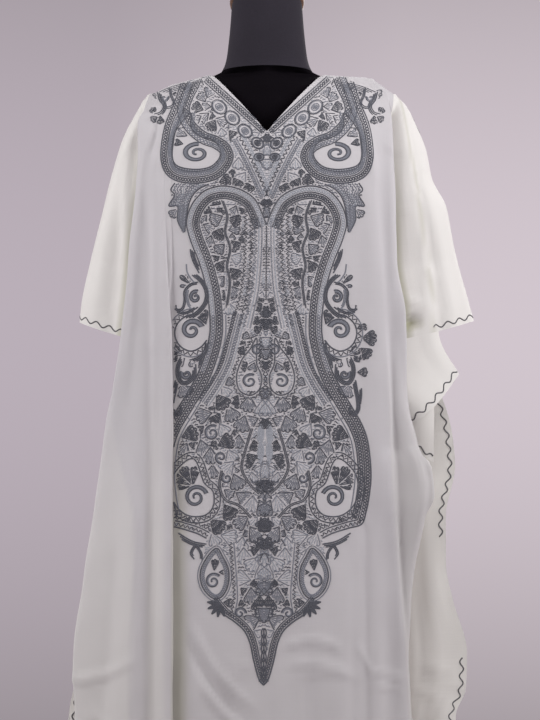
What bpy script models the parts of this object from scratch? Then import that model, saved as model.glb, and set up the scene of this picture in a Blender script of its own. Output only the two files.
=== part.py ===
"""A poncho-cut kaftan hanging on a limbless dress form with a round stand.

Metres, +Z up. The front faces -Y and the origin is the middle of the stand's underside.
One length of cloth is folded over the shoulders, so every horizontal cut through it is a
ring: front, left and right folds, sleeves or wings, and back. Tables give that ring at a
few heights, and each stretch of it is a thin wall in an object of its own.
"""

import math

import bpy
import numpy as np

CLOTH = 0.0015  # thickness of a cloth wall
SEAM = 0.0003  # gap between two pieces that touch

HEM_HEIGHT = 0.085
NECK_POINT = 0.088  # half the width of the neck opening at the shoulder seam
V_BOTTOM = 1.3265  # height of the lowest point of the V-neck
BACK_NECK = 1.4200  # height of the back neck edge at its middle
SHOULDER_HEIGHT = 1.4285  # of the shoulder seam at the neck
SHOULDER_SLOPE = {-1: 0.25, 1: 0.06}  # fall of the seam per metre outward, left and right
NECK_RISE = 0.18  # rise of the seam's line inward, across the neck opening
TIP = 0.172  # where the shoulder seam starts to turn down
TIP_HEIGHT = 1.388  # the side folds open from this height down
TIP_ROUND_FROM = 1.300  # the side folds follow the round of the shoulder above this height

# Heights of the rows of the front and back panels at their side edges.
ROWS = (
    1.400, 1.395, 1.384, 1.367, 1.345, 1.315, 1.275, 1.230, 1.180, 1.130, 1.085, 1.046,
    1.010, 0.965, 0.920, 0.880, 0.845, 0.815, 0.780, 0.745, 0.690, 0.610, 0.500, 0.340,
    HEM_HEIGHT,
)
LEVEL_FROM = 1.130  # the rows are level from this height down
TIP_FADE = 0.030  # and at the panels' side edges, rising to the seam over this distance
CUFF_ROW = 12  # the sleeves end at this row and the wings start below it

# How far the folds at the sides of the front reach outward, how deep they lie in front of
# the middle plane, and how far the cloth turns back inward behind them.
FOLD_COLUMNS = ("height", "out", "fore", "turn", "back_out", "back_fore", "back_turn")
LEFT_FOLD = (
    (1.400, 0.166, 0.034, -0.012, 0.166, 0.034, -0.012),
    (1.370, 0.183, 0.062, -0.004, 0.178, 0.062, -0.004),
    (1.343, 0.193, 0.072, 0.010, 0.182, 0.074, 0.006),
    (1.270, 0.190, 0.090, 0.022, 0.184, 0.092, 0.018),
    (1.166, 0.200, 0.104, 0.030, 0.192, 0.104, 0.024),
    (1.053, 0.210, 0.110, 0.034, 0.202, 0.108, 0.028),
    (0.948, 0.226, 0.112, 0.036, 0.214, 0.108, 0.030),
    (0.829, 0.245, 0.112, 0.038, 0.226, 0.108, 0.032),
    (0.675, 0.269, 0.112, 0.040, 0.240, 0.108, 0.034),
    (0.530, 0.288, 0.110, 0.042, 0.250, 0.108, 0.036),
    (0.453, 0.295, 0.110, 0.044, 0.256, 0.108, 0.036),
    (0.270, 0.312, 0.112, 0.046, 0.268, 0.110, 0.038),
    (HEM_HEIGHT, 0.330, 0.114, 0.048, 0.280, 0.112, 0.040),
)
RIGHT_FOLD = (
    (1.400, 0.180, 0.034, -0.014, 0.180, 0.034, -0.014),
    (1.370, 0.186, 0.060, -0.004, 0.182, 0.060, -0.004),
    (1.343, 0.188, 0.072, 0.010, 0.186, 0.072, 0.006),
    (1.275, 0.189, 0.090, 0.022, 0.186, 0.092, 0.018),
    (1.138, 0.192, 0.106, 0.030, 0.190, 0.104, 0.024),
    (1.050, 0.205, 0.112, 0.034, 0.200, 0.108, 0.028),
    (0.948, 0.206, 0.112, 0.034, 0.206, 0.108, 0.030),
    (0.862, 0.213, 0.114, 0.034, 0.210, 0.108, 0.030),
    (0.832, 0.241, 0.118, 0.050, 0.212, 0.108, 0.030),
    (0.788, 0.245, 0.118, 0.056, 0.214, 0.108, 0.032),
    (0.745, 0.224, 0.114, 0.040, 0.216, 0.108, 0.032),
    (0.678, 0.211, 0.110, 0.034, 0.218, 0.108, 0.034),
    (0.508, 0.208, 0.110, 0.034, 0.226, 0.108, 0.036),
    (0.453, 0.211, 0.110, 0.036, 0.232, 0.108, 0.036),
    (0.270, 0.222, 0.112, 0.038, 0.246, 0.110, 0.038),
    (HEM_HEIGHT, 0.236, 0.114, 0.040, 0.260, 0.112, 0.040),
)

# The long pleat left of the middle: where its edge is, how far it laps over, how deep.
PLEAT_COLUMNS = ("height", "edge", "lap", "depth")
PLEAT = (
    (1.400, -0.150, -0.012, 0.0000),
    (1.230, -0.151, -0.010, 0.0010),
    (1.130, -0.148, -0.008, 0.0046),
    (1.010, -0.139, 0.014, 0.0054),
    (0.900, -0.138, 0.026, 0.0055),
    (0.560, -0.138, 0.028, 0.0060),
    (HEM_HEIGHT, -0.140, 0.030, 0.0065),
)

# The middle of the front stands this far forward, and falls back by this much at 0.2 m out.
HANG_COLUMNS = ("height", "front", "front_round", "back", "back_round")
HANG = (
    (1.400, 0.146, 0.050, 0.132, 0.040),
    (1.200, 0.148, 0.048, 0.134, 0.036),
    (1.000, 0.146, 0.038, 0.132, 0.030),
    (0.700, 0.146, 0.030, 0.136, 0.024),
    (HEM_HEIGHT, 0.150, 0.024, 0.146, 0.020),
)

# Stations across the back, and how far soft folds push each out of the even round.
BACK_WAVES = (
    (0.150, 0.000),
    (0.118, -0.006),
    (NECK_POINT, 0.004),
    (0.058, -0.003),
    (0.000, -0.004),
    (-0.058, 0.004),
    (-NECK_POINT, -0.004),
    (-0.118, 0.002),
    (-0.150, 0.000),
)

# The sleeves hang from the shoulder fold, which runs on down their outer edge.
SLEEVE_COLUMNS = ("height", "out")
SLEEVE_EDGE = {
    -1: (
        (1.390, 0.191),
        (1.363, 0.205),
        (1.329, 0.222),
        (1.282, 0.236),
        (1.190, 0.259),
        (1.081, 0.285),
        (1.046, 0.289),
    ),
    1: (
        (1.393, 0.203),
        (1.382, 0.214),
        (1.354, 0.228),
        (1.312, 0.246),
        (1.269, 0.254),
        (1.225, 0.276),
        (1.157, 0.290),
        (1.104, 0.304),
        (1.046, 0.320),
    ),
}
SLEEVE_TOP = {-1: 1.390, 1: 1.393}  # of the fold at the shoulder tip
CUFF_HEIGHT = {-1: 1.046, 1: 1.048}  # of the fold at the cuff
SLEEVE_PUFF = 0.016  # how far the sleeve's two sides stand apart, at the most
TIP_GAP = 0.0004  # more room at the shoulder tips, where the walls turn sharply

# Below the cuffs the side edges hang as wings from the side seams.
WING_COLUMNS = ("height", "front_out", "front_fore", "back_out", "back_fore")
LEFT_WING = (
    (1.010, 0.206, 0.012, 0.206, 0.012),
    (0.946, 0.218, 0.014, 0.222, 0.012),
    (0.829, 0.232, 0.014, 0.236, 0.014),
    (0.675, 0.252, 0.016, 0.250, 0.018),
    (0.530, 0.270, 0.020, 0.266, 0.022),
    (0.453, 0.280, 0.022, 0.274, 0.024),
    (0.270, 0.298, 0.026, 0.290, 0.030),
    (HEM_HEIGHT, 0.315, 0.030, 0.304, 0.034),
)
RIGHT_WING = (
    (1.010, 0.214, 0.010, 0.212, 0.012),
    (0.926, 0.272, 0.008, 0.262, 0.012),
    (0.869, 0.287, 0.006, 0.274, 0.014),
    (0.824, 0.291, 0.006, 0.276, 0.014),
    (0.746, 0.276, 0.010, 0.266, 0.016),
    (0.672, 0.276, 0.012, 0.264, 0.018),
    (0.620, 0.286, 0.014, 0.270, 0.020),
    (0.537, 0.308, 0.016, 0.284, 0.022),
    (0.483, 0.306, 0.018, 0.286, 0.024),
    (0.441, 0.290, 0.020, 0.284, 0.026),
    (0.270, 0.306, 0.026, 0.300, 0.030),
    (HEM_HEIGHT, 0.326, 0.030, 0.316, 0.034),
)
SIDE_SEAM_OUT = 0.205  # the side seams pinch front and back together at least this far out

# The dress form, as sections from the hips to the neck seam.
FORM_COLUMNS = ("height", "half_width", "half_depth", "middle", "roundness")
FORM_SECTIONS = (
    (0.740, 0.160, 0.108, 0.004, 2.2),
    (0.790, 0.168, 0.116, 0.004, 2.2),
    (0.860, 0.168, 0.116, 0.003, 2.2),
    (0.940, 0.150, 0.102, 0.000, 2.2),
    (1.040, 0.120, 0.088, 0.000, 2.2),
    (1.120, 0.136, 0.097, 0.000, 2.2),
    (1.200, 0.150, 0.112, -0.006, 2.2),
    (1.270, 0.155, 0.108, -0.004, 2.2),
    (1.330, 0.164, 0.098, 0.000, 2.0),
    (1.370, 0.173, 0.090, 0.000, 1.8),
    (1.3880, 0.166, 0.084, 0.001, 1.5),
    (1.4020, 0.156, 0.079, 0.001, 1.3),
    (1.4155, 0.138, 0.065, 0.001, 1.05),
    (1.4267, 0.0895, 0.052, 0.001, 1.05),
    (1.4345, 0.0705, 0.061, 0.007, 2.0),
)
# The neck cover above it: height, half width, half depth, middle, and the slant of the ring.
NECK_SECTIONS = (
    (1.4350, 0.0705, 0.061, 0.007, 0.00),
    (1.4440, 0.0660, 0.061, 0.008, 0.02),
    (1.4570, 0.0625, 0.059, 0.006, 0.06),
    (1.4750, 0.0600, 0.057, 0.004, 0.12),
    (1.5030, 0.0570, 0.055, 0.002, 0.25),
    (1.5350, 0.0545, 0.053, 0.000, 0.42),
)

CAP_RADIUS = 0.0578
CAP_HEIGHT = 0.020
CAP_ROUNDING = 0.007

BASE_RADIUS = 0.190
BASE_THICKNESS = 0.006
BASE_ROUNDING = 0.0025
BOSS_RADIUS = 0.032
BOSS_HEIGHT = 0.045
POLE_RADIUS = 0.014

ROUND_SIDES = 32


def column(table, names, name, heights):
    """One column of a table, read smoothly at any heights."""
    rows = np.array(sorted(table))
    z = rows[:, 0]
    v = rows[:, names.index(name)]
    slope = np.diff(v) / np.diff(z)
    ends = np.concatenate([[slope[0]], slope, [slope[-1]]])
    same_way = ends[:-1] * ends[1:] > 0
    mean = 2 * ends[:-1] * ends[1:] / np.where(same_way, ends[:-1] + ends[1:], 1.0)
    tangent = np.where(same_way, mean, 0.0)
    h = np.clip(np.asarray(heights, float), z[0], z[-1])
    k = np.clip(np.searchsorted(z, h) - 1, 0, len(z) - 2)
    step = z[k + 1] - z[k]
    t = (h - z[k]) / step
    return (
        v[k] * (1 + 2 * t) * (1 - t) ** 2
        + tangent[k] * step * t * (1 - t) ** 2
        + v[k + 1] * t * t * (3 - 2 * t)
        - tangent[k + 1] * step * t * t * (1 - t)
    )


def rounded(stations, per_station):
    """Points along a smooth curve that touches every leg of the stations' outline."""
    line = []
    last = len(stations) - 2
    for k in range(1, last + 1):
        start = stations[0] if k == 1 else (stations[k - 1] + stations[k]) / 2
        end = stations[-1] if k == last else (stations[k] + stations[k + 1]) / 2
        for i in range(per_station):
            t = i / per_station
            line.append((1 - t) ** 2 * start + 2 * t * (1 - t) * stations[k] + t * t * end)
    line.append(stations[-1])
    return np.array(line)


def seam_height(x):
    """Height of the shoulder seam at x, which also rounds off the shoulder tips."""
    out = abs(x)
    if out < NECK_POINT:
        return SHOULDER_HEIGHT + NECK_RISE * (NECK_POINT - out)
    fall = SHOULDER_SLOPE[1 if x > 0 else -1] * (out - NECK_POINT)
    return SHOULDER_HEIGHT - fall - 8.0 * max(0.0, out - TIP + 0.02) ** 2


def front_depth(x, z):
    """How far the front stands before the middle plane, inside its side folds."""
    front = column(HANG, HANG_COLUMNS, "front", z)
    roundness = column(HANG, HANG_COLUMNS, "front_round", z)
    drop = np.clip((seam_height(x) - z) / 0.20, 0.0, 1.0)
    return (front - roundness * (x / 0.2) ** 2) * (1 - (1 - drop) ** 2) ** 0.55


def back_depth(x, z):
    back = column(HANG, HANG_COLUMNS, "back", z)
    roundness = column(HANG, HANG_COLUMNS, "back_round", z)
    drop = np.clip((seam_height(x) - z) / 0.20, 0.0, 1.0)
    return (back - roundness * (x / 0.2) ** 2) * (1 - (1 - drop) ** 2) ** 0.36


def fold_of(side, z, prefix=""):
    """Out, fore and turn of a side fold at the height z."""
    table = LEFT_FOLD if side < 0 else RIGHT_FOLD
    out, fore, turn = (
        float(column(table, FOLD_COLUMNS, prefix + name, z)) for name in ("out", "fore", "turn")
    )
    drop = min(max((TIP_HEIGHT - z) / 0.045, 0.0), 1.0)
    fore *= (1 - (1 - drop) ** 2) ** 0.5
    if z > TIP_ROUND_FROM:
        over_tip = back_depth(side * out, z) if prefix else front_depth(side * out, z)
        fore = max(fore, 0.96 * float(over_tip))
    return out, fore, turn


def side_stations(side, z, prefix=""):
    """Stations round a side fold, from the panel outward and back in behind it."""
    out, fore, turn = fold_of(side, z, prefix)
    bend = 0.010 * min(max(turn / 0.02, 0.0), 1.0)
    end_fore = max(fore * 0.62, 2 * CLOTH)
    behind = (side * (out - turn * 0.40), fore - (fore - end_fore) * 0.50)
    end = (side * (out - turn), end_fore)
    return [
        (side * out, fore + bend / 2),
        (side * out, fore - bend / 2),
        behind,
        ((behind[0] + end[0]) / 2, (behind[1] + end[1]) / 2),
        end,
    ]


def front_stations(z):
    """The front's outline from above at one height, from its left edge to its right."""
    edge, lap, depth = (
        float(column(PLEAT, PLEAT_COLUMNS, name, z)) for name in PLEAT_COLUMNS[1:]
    )
    under = edge - lap
    left_out = fold_of(-1, z)[0]
    right_out = fold_of(1, z)[0]
    left = side_stations(-1, z)[::-1]
    outer = max(left_out, 0.17) - 0.004
    flank_a = -outer + 0.22 * (outer + edge)
    flank_b = -outer + 0.58 * (outer + edge)
    plain = [(x, float(front_depth(x, z))) for x in (-0.132, -0.088, -0.044, 0.0, 0.044, 0.088)]
    at_edge = float(front_depth(edge, z))
    lapping = min(max((lap + 0.008) / 0.016, 0.0), 1.0)
    at_under = lapping * at_edge + (1 - lapping) * float(front_depth(under, z))
    mid = (0.132, 0.156)
    beyond = 0.5 * (mid[1] + right_out)
    right_fore = fold_of(1, z)[1]
    flank_fore = fold_of(-1, z)[1]
    low = min(max((1.25 - z) / 0.3, 0.0), 1.0)
    return (
        left
        + [
            (flank_a, 0.5 * (at_edge + flank_fore) + 0.5 * depth - 0.004 * low),
            (flank_b, 0.8 * at_edge + 0.2 * flank_fore + 1.6 * depth + 0.002 * low),
            (edge, at_edge + 2 * depth),
            (edge, at_edge + depth),
            (under, at_under + depth),
            (under, at_under),
        ]
        + plain
        + [
            (mid[0], float(front_depth(mid[0], z)) - 0.003 * low),
            (mid[1], float(front_depth(mid[1], z)) + 0.005 * low),
            (beyond, 0.5 * (float(front_depth(mid[1], z)) + right_fore) - 0.004 * low),
        ]
        + side_stations(1, z)
    )


def back_stations(z):
    """The back's outline from above, from its right edge to its left."""
    low = min(max((1.25 - z) / 0.4, 0.0), 1.0)
    middle = [
        (x * (1 + 0.25 * low), float(back_depth(x, z)) + wave * low) for x, wave in BACK_WAVES
    ]
    return side_stations(1, z, "back_")[::-1] + middle + side_stations(-1, z, "back_")


def front_top(x):
    """Height of the front's cut edge: the V-neck, then the shoulder seam."""
    if abs(x) >= NECK_POINT:
        return seam_height(x)
    return V_BOTTOM + (SHOULDER_HEIGHT - V_BOTTOM) * abs(x) / NECK_POINT


def back_top(x):
    """Height of the back's cut edge: a shallow scoop, then the shoulder seam."""
    if abs(x) >= NECK_POINT:
        return seam_height(x)
    return BACK_NECK + (SHOULDER_HEIGHT - BACK_NECK) * (x / NECK_POINT) ** 2


def panel_points(stations_at, top_at, facing, per_station):
    """Points of the front or back panel, a row for each height in ROWS."""
    top = rounded(np.array(stations_at(ROWS[0])), per_station)
    cut = np.array([top_at(x) for x, _ in top])
    from_edge = np.minimum(abs(top[:, 0] - top[0, 0]), abs(top[:, 0] - top[-1, 0]))
    shift = (cut - ROWS[0]) * np.minimum(from_edge / TIP_FADE, 1.0)
    grid = []
    for i, level in enumerate(ROWS):
        fade = max(0.0, (level - LEVEL_FROM) / (ROWS[0] - LEVEL_FROM))
        row = []
        for k, amount in enumerate(shift):
            z = level + amount * fade
            x, depth = rounded(np.array(stations_at(z)), per_station)[k]
            row.append((x, facing * depth, z))
        grid.append(row)
    points = np.array(grid)
    on_seam = np.abs(points[0, :, 0]) >= NECK_POINT - 0.004
    points[0, on_seam, 1] = facing * SEAM / 2
    return points


def ring_end(side, z, prefix, facing):
    """Where a panel's side edge ends, and the way it runs there."""
    near, end = side_stations(side, z, prefix)[-2:]
    start = np.array([near[0], facing * near[1]])
    stop = np.array([end[0], facing * end[1]])
    way = stop - start
    return stop, way / max(np.linalg.norm(way), 1e-6)


def sleeve_points(side, per_station):
    """Points of a sleeve, from the front panel's edge round to the back panel's.

    The rows fan out from the shoulder tip, where front and back meet along the fold.
    """
    grid = []
    for i, level in enumerate(ROWS[: CUFF_ROW + 1]):
        share = (ROWS[0] - level) / (ROWS[0] - ROWS[CUFF_ROW])
        opened = min(share / 0.08, 1.0)
        apex_z = SLEEVE_TOP[side] * (1 - share) + CUFF_HEIGHT[side] * share
        apex = float(column(SLEEVE_EDGE[side], SLEEVE_COLUMNS, "out", apex_z))
        puff = SLEEVE_PUFF * math.sin(math.pi * min(1.4 * share, 1.0)) + 0.004 * opened
        halves = []
        for prefix, facing in (("", -1), ("back_", 1)):
            end, way = ring_end(side, level, prefix, facing)
            if i == 0:
                end = np.array([end[0], facing * SEAM / 2])
                way = np.array([float(side), 0.0])
            out = abs(end[0])
            gap = SEAM + TIP_GAP * (1 - min(share / 0.12, 1.0))
            slope = (apex_z - level) * (1 - share)
            reach = min(0.020, 0.30 * (apex - out) + 0.003)
            middle = np.array([side * (0.55 * apex + 0.45 * out), 0.45 * end[1] + facing * puff])
            fold = facing * (SEAM / 2 + (0.006 + 0.5 * puff) * opened)
            halves.append([
                np.append(end + way * gap, level),
                np.append(end + way * (gap + reach) / 2, level + 0.1 * slope),
                np.append(end + way * reach, level + 0.2 * slope),
                np.append(middle, 0.5 * (level + apex_z)),
                np.array([side * apex, fold, apex_z]),
            ])
        row = rounded(np.array(halves[0] + halves[1][::-1]), per_station)
        grid.append(row if side > 0 else row[::-1])
    return np.array(grid)


def wing_points(side, facing, per_station):
    """Points of a wing, from the panel's edge past the side seam to the cloth's edge."""
    table = LEFT_WING if side < 0 else RIGHT_WING
    prefix, name = ("", "front") if facing < 0 else ("back_", "back")
    grid = []
    for level in ROWS[CUFF_ROW + 1 :]:
        end, way = ring_end(side, level, prefix, facing)
        out = float(column(table, WING_COLUMNS, name + "_out", level))
        fore = float(column(table, WING_COLUMNS, name + "_fore", level))
        seam = min(SIDE_SEAM_OUT, out - 0.02)
        stations = [
            end + way * SEAM,
            end + way * 0.007,
            end + way * 0.014,
            np.array([side * (seam - 0.022), facing * 0.020]),
            np.array([side * (seam - 0.004), facing * SEAM / 2]),
            np.array([side * (seam + 0.004), facing * SEAM / 2]),
            np.array([side * 0.5 * (seam + out), facing * 0.8 * fore]),
            np.array([side * out, facing * fore]),
        ]
        row = rounded(np.array(stations), per_station)
        row = np.column_stack([row, np.full(len(row), level)])
        grid.append(row if side * facing < 0 else row[::-1])
    return np.array(grid)


# The right sleeve's cuff falls in a cascade of two flaps between the sleeve and the wing.
# Each row is a station along a flap's lower edge: how far out, how far fore, how high.
FLAP_COLUMNS = ("out", "fore", "height")
UPPER_FLAP = (
    (0.190, 0.048, 0.882),
    (0.214, 0.054, 0.886),
    (0.240, 0.062, 0.904),
    (0.266, 0.050, 0.930),
    (0.280, 0.038, 0.948),
    (0.294, 0.028, 0.966),
)
LOWER_FLAP = (
    (0.190, 0.042, 0.868),
    (0.212, 0.046, 0.860),
    (0.236, 0.044, 0.844),
    (0.254, 0.036, 0.832),
)
UPPER_FLAP_COLUMNS = (2, 9)  # the sleeve's columns that the upper flap hangs from
LOWER_FLAP_COLUMNS = (0, 4)  # the upper flap's columns that the lower one hangs from


def edge_line(table, count):
    """Points along a flap's lower edge, as many as the flap has columns."""
    line = rounded(np.array([(out, -fore, z) for out, fore, z in table]), 8)
    places = np.linspace(0, len(line) - 1, count)
    return np.array([line[int(round(p))] for p in places])


def flap_points(top, table, rows):
    """Points of a flap between the cloth it hangs from and its lower edge."""
    low = edge_line(table, len(top))
    straight = top - (0, 0, 0.008)
    return np.array([top] + [straight + (low - straight) * i / rows for i in range(rows + 1)])


def material(name, colour, roughness, metallic=0.0):
    made = bpy.data.materials.new(name)
    made.use_nodes = True
    shader = made.node_tree.nodes["Principled BSDF"]
    shader.inputs["Base Color"].default_value = (*colour, 1.0)
    shader.inputs["Roughness"].default_value = roughness
    shader.inputs["Metallic"].default_value = metallic
    return made


def add_object(name, vertices, faces, surface, smooth=True):
    mesh = bpy.data.meshes.new(name)
    mesh.from_pydata([tuple(v) for v in vertices], [], faces)
    mesh.materials.append(surface)
    if smooth:
        mesh.shade_smooth()
        mesh.set_sharp_from_angle(angle=math.radians(50))
    made = bpy.data.objects.new(name, mesh)
    kaftan.objects.link(made)
    return made


def cloth_wall(name, grid, surface):
    """A wall of cloth with the grid of points as its inner face."""
    rows, across = grid.shape[:2]
    faces = [
        (i * across + k, (i + 1) * across + k, (i + 1) * across + k + 1, i * across + k + 1)
        for i in range(rows - 1)
        for k in range(across - 1)
    ]
    made = add_object(name, grid.reshape(-1, 3), faces, surface)
    wall = made.modifiers.new("Thickness", "SOLIDIFY")
    wall.thickness = CLOTH
    wall.offset = 1.0
    return made


def loft(name, rings, surface):
    """A closed body through rings of equal length, from the lowest up, with flat ends."""
    around = len(rings[0])
    faces = [
        (i * around + k, i * around + (k + 1) % around, (i + 1) * around + (k + 1) % around,
         (i + 1) * around + k)
        for i in range(len(rings) - 1)
        for k in range(around)
    ]
    top = (len(rings) - 1) * around
    faces.append(tuple(range(around))[::-1])
    faces.append(tuple(top + k for k in range(around)))
    return add_object(name, np.concatenate(rings), faces, surface)


def oval(half_width, half_depth, middle, height, roundness=2.0, slant=0.0):
    """A ring of points, counted anticlockwise from above, with its front raised by a slant."""
    ring = []
    for k in range(ROUND_SIDES):
        turn = 2 * math.pi * k / ROUND_SIDES
        c, s = math.cos(turn), math.sin(turn)
        x = half_width * math.copysign(abs(c) ** (2 / roundness), c)
        y = half_depth * math.copysign(abs(s) ** (2 / roundness), s)
        ring.append((x, middle + y * math.cos(slant), height - y * math.sin(slant)))
    return np.array(ring)


def turned(name, profile, surface):
    """A turned piece from its outer profile, listed from the top down."""
    mesh = bpy.data.meshes.new(name)
    edges = [(k, k + 1) for k in range(len(profile) - 1)]
    mesh.from_pydata([(r, 0.0, z) for r, z in profile], edges, [])
    mesh.materials.append(surface)
    made = bpy.data.objects.new(name, mesh)
    kaftan.objects.link(made)
    spin = made.modifiers.new("Turn", "SCREW")
    spin.steps = ROUND_SIDES
    spin.render_steps = ROUND_SIDES
    spin.use_merge_vertices = True
    spin.merge_threshold = 0.0001
    return made


def corner(radius, height, rounding, start, steps=4):
    """Points of a rounded outer corner of a profile, from its first angle downward."""
    return [
        (
            radius - rounding + rounding * math.cos(start - math.pi / 2 * k / steps),
            height + rounding * math.sin(start - math.pi / 2 * k / steps),
        )
        for k in range(steps + 1)
    ]


def build_cloth():
    cream = material("cream_cloth", (0.72, 0.69, 0.66), 0.75)
    cloth_wall("front_panel", panel_points(front_stations, front_top, -1, 2), cream)
    cloth_wall("back_panel", panel_points(back_stations, back_top, 1, 2), cream)
    for side, word in ((-1, "left"), (1, "right")):
        cloth_wall(word + "_sleeve", sleeve_points(side, 3), cream)
        cloth_wall(word + "_wing_front", wing_points(side, -1, 2), cream)
        cloth_wall(word + "_wing_back", wing_points(side, 1, 2), cream)
    first, last = UPPER_FLAP_COLUMNS
    below_cuff = sleeve_points(1, 3)[-1, first:last] - (0, 0, SEAM)
    upper = flap_points(below_cuff, UPPER_FLAP, 5)
    cloth_wall("right_cascade_upper", upper, cream)
    first, last = LOWER_FLAP_COLUMNS
    tucked_up = upper[-1, first:last] + (0, CLOTH + 3 * SEAM, 0.002)
    cloth_wall("right_cascade_lower", flap_points(tucked_up, LOWER_FLAP, 3), cream)


def build_form():
    black = material("black_jersey", (0.012, 0.010, 0.014), 0.85)
    charcoal = material("charcoal_cover", (0.035, 0.032, 0.042), 0.80)
    wood = material("turned_wood", (0.33, 0.17, 0.08), 0.45)
    heights = [r[0] for r in FORM_SECTIONS]
    between = sorted(
        set(heights) | {(a + b) / 2 for a, b in zip(heights, heights[1:]) if b - a > 0.05}
    )
    rings = []
    for z in between:
        values = [float(column(FORM_SECTIONS, FORM_COLUMNS, n, z)) for n in FORM_COLUMNS[1:]]
        rings.append(oval(values[0], values[1], values[2], z, values[3]))
    loft("form_torso", rings, black)
    necks = [
        oval(half_width, half_depth, middle, height, slant=slant)
        for height, half_width, half_depth, middle, slant in NECK_SECTIONS
    ]
    loft("form_neck", necks, charcoal)
    cap_profile = (
        [(0.0, CAP_HEIGHT)]
        + corner(CAP_RADIUS, CAP_HEIGHT - CAP_ROUNDING, CAP_ROUNDING, math.pi / 2)
        + corner(CAP_RADIUS, CAP_ROUNDING, CAP_ROUNDING, 0.0)
        + [(0.0, 0.0)]
    )
    cap = turned("neck_cap", cap_profile, wood)
    height, _, _, middle, slant = NECK_SECTIONS[-1]
    cap.location = (0.0, middle + SEAM * math.sin(slant), height + SEAM * math.cos(slant))
    cap.rotation_euler = (-slant, 0.0, 0.0)


def build_stand():
    steel = material("black_steel", (0.02, 0.02, 0.022), 0.35, 0.8)
    edge = BASE_ROUNDING
    plate = (
        [(0.0, BASE_THICKNESS + BOSS_HEIGHT)]
        + corner(BOSS_RADIUS, BASE_THICKNESS + BOSS_HEIGHT - edge, edge, math.pi / 2)
        + [(BOSS_RADIUS, BASE_THICKNESS)]
        + corner(BASE_RADIUS, BASE_THICKNESS - edge, edge, math.pi / 2)
        + [(BASE_RADIUS, 0.0), (0.0, 0.0)]
    )
    turned("stand_base", plate, steel)
    bottom = BASE_THICKNESS + BOSS_HEIGHT + SEAM
    top = FORM_SECTIONS[0][0] - SEAM
    bpy.ops.mesh.primitive_cylinder_add(
        vertices=24, radius=POLE_RADIUS, depth=top - bottom, location=(0, 0, (top + bottom) / 2)
    )
    pole = bpy.context.object
    pole.name = "form_pole"
    pole.data.materials.append(steel)
    for holder in list(pole.users_collection):
        holder.objects.unlink(pole)
    kaftan.objects.link(pole)


for old in list(bpy.data.objects):
    bpy.data.objects.remove(old, do_unlink=True)
kaftan = bpy.data.collections.new("kaftan_on_dress_form")
bpy.context.scene.collection.children.link(kaftan)
build_cloth()
build_form()
build_stand()
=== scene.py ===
# %% [markdown]
# # A poncho-cut kaftan on a dress form
#
# The real kaftan is one length of pale cloth folded over the shoulders, with a V cut for the
# neck and grey chain-stitch embroidery down the front. It hangs on a black dress form. This
# lesson dresses a measured model of it, so every piece is built at its real size in metres.
# The model comes first, as a frame that nothing here moves.

# %% Load the measured model
import math

import bmesh
import bpy
import numpy as np
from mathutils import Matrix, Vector
from mathutils.bvhtree import BVHTree


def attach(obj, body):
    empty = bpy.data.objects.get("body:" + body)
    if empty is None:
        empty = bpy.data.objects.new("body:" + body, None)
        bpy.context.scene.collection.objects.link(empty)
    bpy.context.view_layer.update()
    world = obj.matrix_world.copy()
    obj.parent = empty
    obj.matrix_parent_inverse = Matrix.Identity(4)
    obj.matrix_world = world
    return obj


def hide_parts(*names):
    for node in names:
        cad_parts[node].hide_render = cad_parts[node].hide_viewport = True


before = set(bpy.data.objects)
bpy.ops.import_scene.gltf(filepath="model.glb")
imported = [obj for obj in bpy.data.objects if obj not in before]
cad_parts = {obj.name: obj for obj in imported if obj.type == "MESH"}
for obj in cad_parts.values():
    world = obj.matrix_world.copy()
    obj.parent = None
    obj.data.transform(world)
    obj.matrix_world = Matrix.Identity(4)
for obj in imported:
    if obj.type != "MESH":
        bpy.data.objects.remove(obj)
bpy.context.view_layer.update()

print("nodes", sorted(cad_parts))

# %% [markdown]
# ## Camera, light and stage
#
# The picture is taken level, from chest height, a little over two metres away, and it cuts
# the hem off. A level camera with a fixed lens gives that view, with nothing to correct.
# The light in the room is soft and comes from the left and the right of the camera, so two
# large area lights and a pale surround do the same. The wall is the surround itself.

# %% Camera
CAMERA_PLACE = (0.0047, -2.4, 0.988)
PICTURE_HEIGHT = 1.116  # what the picture shows, from top to bottom, at the form's middle
SENSOR = 36.0  # millimetres

camera_data = bpy.data.cameras.new("camera")
camera_data.sensor_width = SENSOR
camera_data.lens = SENSOR * -CAMERA_PLACE[1] / PICTURE_HEIGHT
camera = bpy.data.objects.new("camera", camera_data)
camera.location = CAMERA_PLACE
camera.rotation_euler = (math.radians(90), 0, 0)
bpy.context.scene.collection.objects.link(camera)
bpy.context.scene.camera = camera
print("lens", round(camera_data.lens, 2))

# %% Lights
LIGHTS = (
    # name, place, size, watts
    ("window_left", (-2.1, -1.0, 2.1), 1.1, 42.0),
    ("window_right", (2.0, -1.0, 2.2), 1.1, 54.0),
    ("over_camera", (-0.5, -2.4, 2.7), 1.0, 14.0),
    ("behind", (0.4, 2.6, 2.4), 2.0, 40.0),
)
AIMED_AT = Vector((0.0, 0.0, 1.0))

for name, place, size, watts in LIGHTS:
    lamp = bpy.data.lights.new(name, "AREA")
    lamp.size = size
    lamp.energy = watts
    holder = bpy.data.objects.new(name, lamp)
    holder.location = place
    holder.rotation_euler = (AIMED_AT - Vector(place)).to_track_quat("-Z", "Y").to_euler()
    bpy.context.scene.collection.objects.link(holder)
print("lights", len(LIGHTS))

# %% [markdown]
# ## Finishes
#
# A finish is a small sum of patterns. Written as nodes it is long, and written as Python it
# reads like arithmetic, so one class lets a socket take part in sums, and another holds the
# material and adds any other node.


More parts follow.
